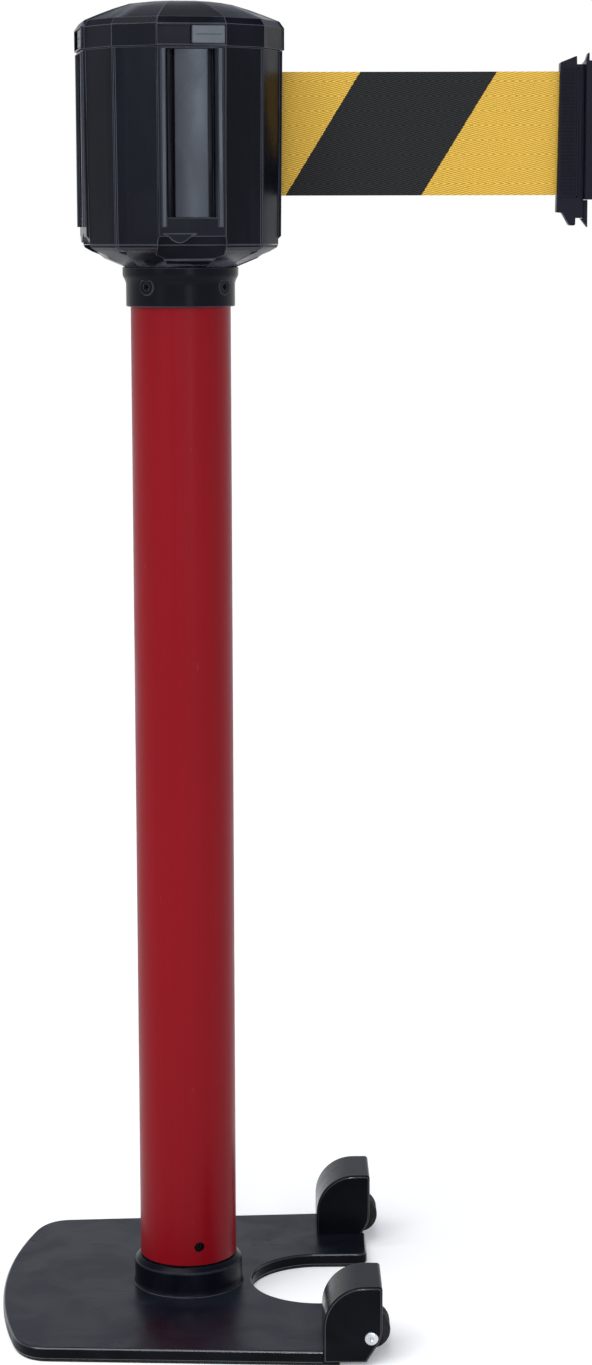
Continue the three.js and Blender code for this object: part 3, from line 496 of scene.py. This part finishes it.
def prism(points, low, high, edge=0.0, steps=3, axis="Z"):
    """Extrudes an outline from low to high and rounds its rims. With axis Y the outline is (x, z)."""
    bm = bmesh.new()
    bottom = [bm.verts.new((x, y, low)) for x, y in points]
    top = [bm.verts.new((x, y, high)) for x, y in points]
    bm.faces.new(bottom[::-1])
    bm.faces.new(top)
    count = len(points)
    for i in range(count):
        n = (i + 1) % count
        bm.faces.new((bottom[i], bottom[n], top[n], top[i]))
    bmesh.ops.recalc_face_normals(bm, faces=bm.faces)
    if edge:
        rims = [e for e in bm.edges if abs(e.verts[0].co.z - e.verts[1].co.z) < 1e-6]
        bmesh.ops.bevel(bm, geom=rims, offset=edge, segments=steps, profile=0.5, affect="EDGES",
                        clamp_overlap=True)
    if axis == "Y":
        bmesh.ops.transform(bm, matrix=SWAP_Y_Z, verts=bm.verts)
        bmesh.ops.reverse_faces(bm, faces=bm.faces)
    return bm


def block(x, y, z, edge=0.4, steps=2):
    """A box between pairs of limits, with rounded edges."""
    bm = bmesh.new()
    size = Vector((x[1] - x[0], y[1] - y[0], z[1] - z[0]))
    centre = Vector((x[0] + x[1], y[0] + y[1], z[0] + z[1])) / 2
    bmesh.ops.create_cube(bm, size=1, matrix=Matrix.Translation(centre) @ Matrix.Diagonal((*size, 1)))
    if edge:
        bmesh.ops.bevel(bm, geom=bm.edges[:], offset=edge, segments=steps, profile=0.5, affect="EDGES")
    return bm


def merged(*parts):
    whole = bmesh.new()
    for part in parts:
        mesh = bpy.data.meshes.new("part")
        part.to_mesh(mesh)
        part.free()
        whole.from_mesh(mesh)
        bpy.data.meshes.remove(mesh)
    return whole


def moved(bm, matrix):
    bmesh.ops.transform(bm, matrix=matrix, verts=bm.verts)
    return bm


def shift(x=0, y=0, z=0):
    return Matrix.Translation((x, y, z))


def spin(degrees, axis="Z"):
    return Matrix.Rotation(math.radians(degrees), 4, axis)


def in_head(turn=0):
    return Matrix.Rotation(HEAD_YAW + math.radians(turn), 4, "Z")


SHARP_ANGLE = 32      # edges turning more than this, in degrees, shade as sharp


def make_object(name, bm, material, sharp=SHARP_ANGLE):
    """A scene object from a mesh in millimetres."""
    mesh = bpy.data.meshes.new(name)
    bm.to_mesh(mesh)
    bm.free()
    mesh.transform(Matrix.Scale(MM, 4))
    mesh.materials.append(material)
    mesh.shade_smooth()
    mesh.set_sharp_from_angle(angle=math.radians(sharp))
    obj = bpy.data.objects.new(name, mesh)
    bpy.context.collection.objects.link(obj)
    return obj


def apply_modifiers(obj):
    depsgraph = bpy.context.evaluated_depsgraph_get()
    depsgraph.update()
    done = bpy.data.meshes.new_from_object(obj.evaluated_get(depsgraph))
    obj.modifiers.clear()
    obj.data = done


def combine(obj, operation, *cutters):
    """Boolean of obj with each cutter, which are bmeshes in millimetres."""
    for cutter in cutters:
        tool = make_object("tool", cutter, obj.data.materials[0])
        modifier = obj.modifiers.new("boolean", "BOOLEAN")
        modifier.operation = operation
        modifier.solver = "EXACT"
        modifier.object = tool
        apply_modifiers(obj)
        bpy.data.objects.remove(tool)
    obj.data.shade_smooth()
    obj.data.set_sharp_from_angle(angle=math.radians(SHARP_ANGLE))
    return obj


def cylinder(radius, low, high, segments=48, edge=0.0):
    return prism(arc(0, 0, radius, 0, 360 - 360 / segments, segments - 1), low, high, edge)


def radial(bm, turn, z):
    """Lays a tool made along Z on its side, pointing out from the post's axis."""
    return moved(bm, shift(z=z) @ spin(turn) @ spin(90, "Y"))


def flat_faces(obj):
    """Large faces keep their own normal, so only the rounded edges shade as curves."""
    weighted = obj.modifiers.new("flat_faces", "WEIGHTED_NORMAL")
    weighted.weight = 100
    weighted.keep_sharp = True


def paint_faces(obj, *coats):
    """Each coat is (material, test of a face's normal), and a later coat covers an earlier one."""
    for material, takes in coats:
        obj.data.materials.append(material)
        for face in obj.data.polygons:
            if takes(face.normal):
                face.material_index = len(obj.data.materials) - 1


def piece(obj, body, slot, *nodes):
    """A visual piece that moves with body and stands in for the CAD nodes."""
    flat_faces(obj)
    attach(obj, body)
    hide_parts(*nodes)
    return obj


# ---------- carried-over CAD nodes: cleaned, edge-rounded, shaded by angle ----------

WELD_WITHIN = 0.01     # CAD vertices closer than this become one
FLAT_WITHIN = 0.8      # faces that turn less than this, in degrees, become one
ROUND_OVER = 24        # edges that turn more than this, in degrees, are rounded
SMOOTH_UP_TO = 30      # edges that turn more than this, in degrees, still shade as sharp


def smooth_group():
    """Smooth shading, broken at the edges that are still sharp."""
    group = bpy.data.node_groups.new("smooth_by_angle", "GeometryNodeTree")
    group.interface.new_socket("Geometry", in_out="INPUT", socket_type="NodeSocketGeometry")
    group.interface.new_socket("Geometry", in_out="OUTPUT", socket_type="NodeSocketGeometry")
    nodes, links = group.nodes, group.links
    start, end = nodes.new("NodeGroupInput"), nodes.new("NodeGroupOutput")
    faces, edges = nodes.new("GeometryNodeSetShadeSmooth"), nodes.new("GeometryNodeSetShadeSmooth")
    faces.domain, edges.domain = "FACE", "EDGE"
    faces.inputs["Shade Smooth"].default_value = True
    edges.inputs["Shade Smooth"].default_value = False
    angle, test = nodes.new("GeometryNodeInputMeshEdgeAngle"), nodes.new("FunctionNodeCompare")
    test.operation = "GREATER_THAN"
    test.inputs["B"].default_value = math.radians(SMOOTH_UP_TO)
    links.new(start.outputs[0], faces.inputs["Geometry"])
    links.new(faces.outputs[0], edges.inputs["Geometry"])
    links.new(angle.outputs["Unsigned Angle"], test.inputs["A"])
    links.new(test.outputs[0], edges.inputs["Selection"])
    links.new(edges.outputs[0], end.inputs[0])
    return group


SMOOTH = smooth_group()


def dress(name, material, edge=0.25, steps=2):
    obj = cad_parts[name]
    for slot in obj.material_slots:
        slot.material = material
    weld = obj.modifiers.new("weld", "WELD")
    weld.merge_threshold = WELD_WITHIN * MM
    flatten = obj.modifiers.new("flatten", "DECIMATE")
    flatten.decimate_type = "DISSOLVE"
    flatten.angle_limit = math.radians(FLAT_WITHIN)
    if edge:
        bevel = obj.modifiers.new("bevel", "BEVEL")
        bevel.width = edge * MM
        bevel.segments = steps
        bevel.limit_method = "ANGLE"
        bevel.angle_limit = math.radians(ROUND_OVER)
        bevel.miter_outer = "MITER_ARC"
    smooth = obj.modifiers.new("smooth", "NODES")
    smooth.node_group = SMOOTH
    flat_faces(obj)
    return obj


for node in ("head_body", "head_cap", "head_base"):
    dress(node, gloss_black, 0.3)


def paint_rails_lit(body):
    """The guide rails beside each receiver take the receiver bars' lighter, shinier plastic: its lighter
    colour is a painted highlight, so the rails read as lit.
    """
    body.data.materials.append(bar_black)
    polished_lit = len(body.data.materials) - 1
    for turn in STATIONS.values():
        to_station = in_head(turn).inverted()
        for face in body.data.polygons:
            place = to_station @ (face.center / MM)
            beside = RAIL_INNER < abs(place.y) < RAIL_OUTER and place.x > STATION_FACE - 3
            if beside and RAIL_BOTTOM - 1 < place.z < CHANNEL_TOP:
                face.material_index = polished_lit


paint_rails_lit(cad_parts["head_body"])
for node, material, edge in (
    ("outlet_bezel", satin_black, 0.4), ("clip_latch", clip_navy, 0.5), ("clip_release_hook", clip_navy, 0.4),
    ("guide_pin", bright_steel, 0.3), ("post_spigot", black_oxide, 0.3), ("base_bolt", zinc_steel, 0.5),
    ("base_bolt_washer", zinc_steel, 0.2), ("foot_set_screw", black_oxide, 0.2),
    ("spool_shaft", bright_steel, 0.3), ("shaft_nut", zinc_steel, 0.4), ("shaft_clip", dark_steel, 0.15),
    ("spool_drum", inner_grey, 0.3), ("lower_bush", zinc_steel, 0.15), ("upper_bush", zinc_steel, 0.15),
    ("power_spring", dark_steel, 0.1), ("spring_cup", inner_grey, 0.3),
):
    dress(node, material, edge)
for i in range(1, 5):
    dress(f"collar_screw_{i}", black_oxide, 0.15)
    dress(f"tie_screw_{i}", dark_steel, 0.2)
for i in range(1, 4):
    dress(f"clip_screw_{i}", dark_steel, 0.2)
for place in ("front", "rear"):
    dress(f"wheel_hub_{place}", inner_grey, 0.3)
    dress(f"axle_clip_{place}", dark_steel, 0.15)
    dress(f"cover_screw_{place}", zinc_steel, 0.2)


# ---------- base ----------

def side_half(x):
    share = (x - BASE_LEFT) / (BASE_RIGHT - BASE_LEFT)
    return BASE_HALF_LEFT + (BASE_HALF_RIGHT - BASE_HALF_LEFT) * share


def base_outline(inset):
    """The plate's outline: bowed left end, widening sides, two arms and a round-bottomed notch."""
    left, right = BASE_LEFT + inset, BASE_RIGHT - inset
    shoulder, notch = left + BASE_BOW, NOTCH_RADIUS + inset

    def side(x):
        return x, inset - side_half(x)

    corner = -side(shoulder)[1] - BASE_CORNER
    tip = side(right)[1]
    lower = curve((shoulder, -corner), side(shoulder + BASE_CORNER_SLANT), side(shoulder + BASE_CORNER), 16)
    arm = curve((right - ARM_CORNER, tip), (right, tip), (right, tip + ARM_CORNER), 6)
    inner = curve((right, -notch - ARM_CORNER), (right, -notch), (right - ARM_CORNER, -notch), 6)
    bottom = arc(NOTCH_CENTRE_X, 0, notch, -90, -270, 48)
    half_way = lower + arm + inner
    mirrored = [(x, -y) for x, y in half_way[::-1]]
    bow = curve((shoulder, corner), (left - BASE_BOW, 0), (shoulder, -corner), 40)[1:-1]
    return half_way + bottom[1:-1] + mirrored + bow


def wheel_pocket(side):
    """What a wheel and the inside of its cover take out of the plate's corner."""
    y = sorted((side * (COVER_INNER_Y + COVER_WALL), side * (COVER_OUTER_Y + OVERCUT)))
    return block((COVER_HEEL - 2, BASE_RIGHT + OVERCUT), y, (-1, PLATE_TOP + 1), 0)


def skirt_step(side):
    """The step in the plate's side that the cover's skirt hangs over."""
    y = sorted((side * (COVER_OUTER_Y - COVER_SKIRT - 0.5), side * (COVER_OUTER_Y + OVERCUT)))
    return block((COVER_LEFT - 0.5, COVER_HEEL), y, (-1, PLATE_TOP + 1), 0)


plate = make_object("plate_visual", prism(base_outline(0), PAD_THICK, PLATE_TOP, 2.2, 4), plate_black)
combine(plate, "DIFFERENCE", wheel_pocket(1), wheel_pocket(-1), skirt_step(1), skirt_step(-1),
        cylinder(BOLT_HOLE_RADIUS, 0, 20), cylinder(WASHER_HOLE_RADIUS, 0, WASHER_HOLE_TOP))
# Painted light: the rounded rims take the lighter rim coat as a painted highlight line, and the upright sides
# take the darker side coat as painted shade.
paint_faces(plate,
            (plate_rim_lit, lambda normal: normal.z < 0.97),
            (plate_side_shaded, lambda normal: abs(normal.z) < 0.25))
piece(plate, "stand", "plate_black", "base_plate")

pad = make_object("pad_visual", prism(base_outline(1.5), 0, PAD_THICK - 0.1, 0.5, 2), rubber_black)
combine(pad, "DIFFERENCE", wheel_pocket(1), wheel_pocket(-1))
piece(pad, "stand", "rubber_black", "base_pad")


# ---------- wheels and covers ----------

def cover_outline(bottom):
    """The cover's side: a quarter round at the left, a flat top, and a slanted lower right corner."""
    left, right, top = COVER_LEFT, COVER_RIGHT, COVER_TOP
    points = [(left, bottom), (left, 30)]
    corners_x, corners_z = (left, left, left + 14, left + 32), (30, 48, top, top)
    for i in range(1, 21):
        t = i / 20
        points.append(tuple(
            (1 - t) ** 3 * a + 3 * (1 - t) ** 2 * t * b + 3 * (1 - t) * t * t * c + t ** 3 * d
            for a, b, c, d in (corners_x, corners_z)))
    heel = (137 + (bottom - 3) * 0.6, bottom)
    rest = [(left + 32, top), (right, top), (right, 22), heel]
    return points + fillet(rest, [0, 3, 7, 2], 5, False)[1:]


def cover_cavity():
    top = COVER_TOP - COVER_WALL
    back = curve((COVER_HEEL, 28), (COVER_HEEL + 2, top), (COVER_HEEL + 18, top), 14)
    return [(COVER_HEEL, -1), *back, (COVER_RIGHT + 10, top), (COVER_RIGHT + 10, -1)]


def on_axle(y, turn):
    """Lays a wheel part made along Z on the axle."""
    return shift(AXLE_X, y, AXLE_Z) @ spin(turn, "X")


def make_cover(side, place):
    flip = Matrix.Identity(4) if side > 0 else Matrix.Scale(-1, 4, (0, 1, 0))
    parts = [
        prism(cover_outline(PAD_THICK + 1), COVER_INNER_Y, COVER_OUTER_Y, 4.2, 6, "Y"),
        block((COVER_LEFT - OVERCUT, COVER_RIGHT + OVERCUT),
              (COVER_INNER_Y - OVERCUT, COVER_OUTER_Y - COVER_SKIRT), (-OVERCUT, PLATE_TOP + 0.1), 0),
        prism(cover_cavity(), COVER_INNER_Y + COVER_WALL, COVER_OUTER_Y - COVER_WALL, 0, 1, "Y"),
        moved(cylinder(AXLE_RADIUS + GAP, COVER_INNER_Y + 0.7, COVER_OUTER_Y + OVERCUT), on_axle(0, -90)),
    ]
    for part in parts:
        moved(part, flip)
        if side < 0:
            bmesh.ops.reverse_faces(part, faces=part.faces)
    cover = make_object(f"cover_{place}", parts[0], cover_black)
    combine(cover, "DIFFERENCE", *parts[1:])
    # Painted light: the rounding beside each flat side takes the lighter rim coat as a painted highlight
    # line, and the flat sides take the darker side coat as painted shade under the lighter top.
    paint_faces(cover,
                (plate_rim_lit, lambda normal: abs(normal.y) > 0.9),
                (plate_side_shaded, lambda normal: abs(normal.y) > 0.98))
    piece(cover, "stand", "plate_black", f"wheel_cover_{place}")


def make_tyre(side, place):
    half, outer, inner = WHEEL_WIDTH / 2, TYRE_RADIUS, HUB_RADIUS
    profile = [(inner, -half), (outer - 2.4, -half), (outer - 0.7, -half + 0.8), (outer, -half + 2.4)]
    for groove in TREAD_GROOVES:
        profile += [(outer, groove - 1), (outer - 0.9, groove - 0.5)]
        profile += [(outer - 0.9, groove + 0.5), (outer, groove + 1)]
    profile += [(outer, half - 2.4), (outer - 0.7, half - 0.8), (outer - 2.4, half), (inner, half)]
    tyre = moved(lathe(profile, 96), on_axle(side * WHEEL_Y, -90))
    obj = make_object(f"tyre_{place}", tyre, rubber_black)
    piece(obj, f"wheel_{place}", "rubber_black", f"wheel_tyre_{place}")


def make_pin(side, place):
    inner, outer = COVER_INNER_Y + 1, COVER_OUTER_Y + 0.2
    r = AXLE_RADIUS
    shank = [(0, inner), (r - 0.6, inner), (r, inner + 0.6), (r, outer)]
    button = [(r + 1.2, outer), (r + 1.2, outer + 0.5), (r + 0.8, outer + 1.2), (r - 0.4, outer + 1.75)]
    dimple = [(1.6, outer + 2), (1.3, outer + 1.7), (0.6, outer + 1.1), (0, outer + 1)]
    pin = moved(turned(shank + button + dimple, 48), on_axle(0, -90 * side))
    piece(make_object(f"pin_{place}", pin, bright_steel), "stand", "steel", f"axle_pin_{place}")


for side, place in ((-1, "front"), (1, "rear")):
    make_cover(side, place)
    make_tyre(side, place)
    make_pin(side, place)


# ---------- post ----------

tube_profile = fillet([(TUBE_RADIUS - TUBE_WALL, TUBE_BOTTOM), (TUBE_RADIUS, TUBE_BOTTOM),
                       (TUBE_RADIUS, TUBE_TOP), (TUBE_RADIUS - TUBE_WALL, TUBE_TOP)], 0.5, 3)
tube = make_object("tube_visual", lathe(tube_profile, 160), red_paint)
combine(tube, "DIFFERENCE", radial(cylinder(FOOT_HOLE_RADIUS, 30, 42), FOOT_SCREW_TURN, FOOT_SCREW_Z))
piece(tube, "stand", "red_paint", "post_tube")

ring_points = [
    (SPIGOT_RADIUS + GAP, PLATE_TOP + 0.1), (RING_RADIUS + 1.5, PLATE_TOP + 0.1),
    (RING_RADIUS + 0.5, PLATE_TOP + 1.4), (RING_RADIUS, PLATE_TOP + 4), (RING_RADIUS, RING_TOP),
    (TUBE_RADIUS + 0.5, TUBE_BOTTOM - 1.5), (SPIGOT_RADIUS + GAP, TUBE_BOTTOM - 1.5),
]
ring_profile = fillet(ring_points, [0.2, 0.5, 0.8, 2, 1.4, 0.8, 0.3], 4)
ring = make_object("ring_visual", lathe(ring_profile), gloss_black)
piece(ring, "stand", "gloss_black", "foot_ring")


# ---------- head collar, receivers and slide locks ----------

collar_points = [
    (TUBE_RADIUS + GAP, COLLAR_BOTTOM), (COLLAR_RADIUS, COLLAR_BOTTOM), (COLLAR_RADIUS, FLARE_BOTTOM),
    (FLANGE_RADIUS, FLARE_TOP), (FLANGE_RADIUS, COLLAR_TOP), (SPIGOT_RADIUS + 0.4, COLLAR_TOP),
    (SPIGOT_RADIUS + 0.4, TUBE_TOP + 0.4), (TUBE_RADIUS + GAP, TUBE_TOP + 0.4),
]
collar_profile = fillet(collar_points, [0.3, 1, 2.5, 1.5, 0.8, 0.2, 0.2, 0.2], 4)
collar = make_object("collar_visual", lathe(collar_profile), gloss_black)


def at_collar_screws(make_tool):
    return [moved(radial(make_tool(), turn, COLLAR_SCREW_Z), in_head()) for turn in COLLAR_SCREW_TURNS]


combine(collar, "UNION", *at_collar_screws(
    lambda: cylinder(COLLAR_BOSS_RADIUS, 39, COLLAR_RADIUS + 0.55, 40, 0.4)))
combine(collar, "DIFFERENCE", *at_collar_screws(lambda: cylinder(COLLAR_HOLE_RADIUS, 36, 46, 32)))
piece(collar, "stand", "gloss_black", "head_collar")


def receiver_section():
    """The bar's section: a slightly crowned face with rounded corners."""
    across = [i / 8 - 1 for i in range(17)]
    face = [(RECEIVER_FACE - 0.5 * share ** 2, RECEIVER_HALF * share) for share in across]
    inner = CHANNEL_FLOOR + GAP
    radii = [0.2] + [0.7] + [0] * 15 + [0.7] + [0.2]
    return fillet([(inner, -RECEIVER_HALF), *face, (inner, RECEIVER_HALF)], radii, 3)


for place, turn in STATIONS.items():
    bar = moved(prism(receiver_section(), CHANNEL_BOTTOM + GAP, CHANNEL_TOP - GAP, 0.4, 2), in_head(turn))
    piece(make_object(f"bar_{place}", bar, bar_black), "stand", "gloss_black", f"receiver_{place}")
    face = STATION_FACE + 0.4
    right, left = STATION_HALF - 0.6, STATION_HALF - 0.6 - LOCK_WIDTH
    lock = block((LOCK_FLOOR + GAP, face), (left, right), (LOCK_BOTTOM, LOCK_TOP), 1.0, 4)
    lock = make_object(f"lock_{place}_visual", moved(lock, in_head(turn)), slate_grey)
    grip = block((face - 0.5, face + OVERCUT), (left + 3, right - 3), (GRIP_BOTTOM, GRIP_TOP), 0.2, 1)
    combine(lock, "DIFFERENCE", moved(grip, in_head(turn)))
    piece(lock, f"lock_{place}", "lock_grey", f"slide_lock_{place}")


# ---------- belt ----------

SELVEDGE_SHARE, SELVEDGE_LOSS = 0.06, 0.22        # how wide the thin selvedges are, and how much thinner
RIPPLE, RIPPLE_LENGTH, RIPPLE_LEAN = 0.15, 31, 2.5


def woven_sheet(x0, x1, columns, rows=40):
    """A flat woven strip one millimetre thick, with thinner selvedges and a barely visible ripple."""
    bm = bmesh.new()
    sheets = []
    for side in (-1, 1):
        grid = []
        for i in range(columns + 1):
            x = x0 + (x1 - x0) * i / columns
            line = []
            for k in range(rows + 1):
                v = k / rows
                into_selvedge = max(0.0, abs(v - 0.5) * 2 - (1 - SELVEDGE_SHARE))
                half = BELT_HALF_THICK - SELVEDGE_LOSS * into_selvedge / SELVEDGE_SHARE
                ripple = RIPPLE * math.sin(x / RIPPLE_LENGTH + RIPPLE_LEAN * v)
                ripple *= math.sin(math.pi * (x - x0) / (x1 - x0))
                y = BELT_Y + side * half + ripple
                line.append(bm.verts.new((x, y, BELT_BOTTOM + v * (BELT_TOP - BELT_BOTTOM))))
            grid.append(line)
        sheets.append(grid)
    for grid in sheets:
        for i in range(columns):
            for k in range(rows):
                bm.faces.new((grid[i][k], grid[i + 1][k], grid[i + 1][k + 1], grid[i][k + 1]))
    front, back = sheets
    rim = [(i, 0) for i in range(columns)] + [(columns, k) for k in range(rows)]
    rim += [(i, rows) for i in range(columns, 0, -1)] + [(0, k) for k in range(rows, 0, -1)]
    for n, (i, k) in enumerate(rim):
        ni, nk = rim[(n + 1) % len(rim)]
        bm.faces.new((front[i][k], front[ni][nk], back[ni][nk], back[i][k]))
    bmesh.ops.recalc_face_normals(bm, faces=bm.faces)
    return bm


SPAN_END = CLIP_LEFT + 10
span = make_object("belt_visual", woven_sheet(OUTLET_X, SPAN_END, 110), striped_webbing, 60)
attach(span, "stand")
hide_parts("belt_span")
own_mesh(span)

coil_points = [(COIL_INNER, BELT_BOTTOM), (COIL_RADIUS, BELT_BOTTOM),
               (COIL_RADIUS, BELT_TOP), (COIL_INNER, BELT_TOP)]
coil = make_object("coil_visual", lathe(fillet(coil_points, 0.6, 3), 96), striped_webbing)
piece(coil, "spool", "webbing", "belt_coil")
dress("belt_inner_run", striped_webbing, 0.2)


# ---------- clip ----------

CLIP_OUTLINE = [
    (CLIP_LEFT, 855.3), (CLIP_LEFT + 4.4, 855), (CLIP_LEFT + 9.9, 845.4),
    (CLIP_NECK, 845.4), (CLIP_NECK, 851), (CLIP_RIGHT - 0.2, 851), (CLIP_RIGHT - 0.2, 965.7),
    (CLIP_NECK, 965.7), (CLIP_NECK - 0.2, 972), (CLIP_LEFT + 1.6, 967),
]
CLIP_CORNERS = [0.8, 0.8, 1.5, 1.5, 0.5, 0.4, 0.4, 0.5, 1, 1.2]
PANEL_BOTTOM, PANEL_TOP = 866.2, 963.2
RIBS, RIB_HALF = 36, 0.62


def clip_shell(side):
    """Half of the clip: a plate with a raised frame round a panel of fine ribs."""
    outer = CLIP_HALF_THICK
    y = sorted((side * 0.7, side * (outer - 0.8)))
    top = sorted((side * (outer - 1.6), side * outer))
    left, right = CLIP_LEFT + 2.2, CLIP_RIGHT - 4.3
    low, high = PANEL_BOTTOM, PANEL_TOP
    parts = [
        prism(fillet(CLIP_OUTLINE, CLIP_CORNERS, 3), y[0], y[1], 0.7, 3, "Y"),
        block((left, right), top, (high - 1.6, high), 0.5, 3),
        block((left, right), top, (low, low + 1.6), 0.5, 3),
        block((right - 2.0, right), top, (low, high), 0.5, 3),
    ]
    for i in range(RIBS):
        z = low + 2.6 + (high - low - 5.2) * (i + 0.5) / RIBS
        parts.append(block((left + 0.5, right - 3.0), top, (z - RIB_HALF, z + RIB_HALF), 0.45, 2))
    return moved(merged(*parts), shift(0, BELT_Y, 0))


front_shell = make_object("clip_front_visual", clip_shell(-1), clip_navy)
piece(front_shell, "belt_clip", "clip_navy", "clip_shell_front")

rear_shell = make_object("clip_rear_visual", clip_shell(1), clip_navy)
seats = [
    moved(cylinder(3.4, CLIP_HALF_THICK - 2.2, 12, 32), shift(CLIP_SCREW_X, BELT_Y, z) @ spin(-90, "X"))
    for z in CLIP_SCREWS
]
combine(rear_shell, "DIFFERENCE", *seats)
piece(rear_shell, "belt_clip", "clip_navy", "clip_shell_rear")
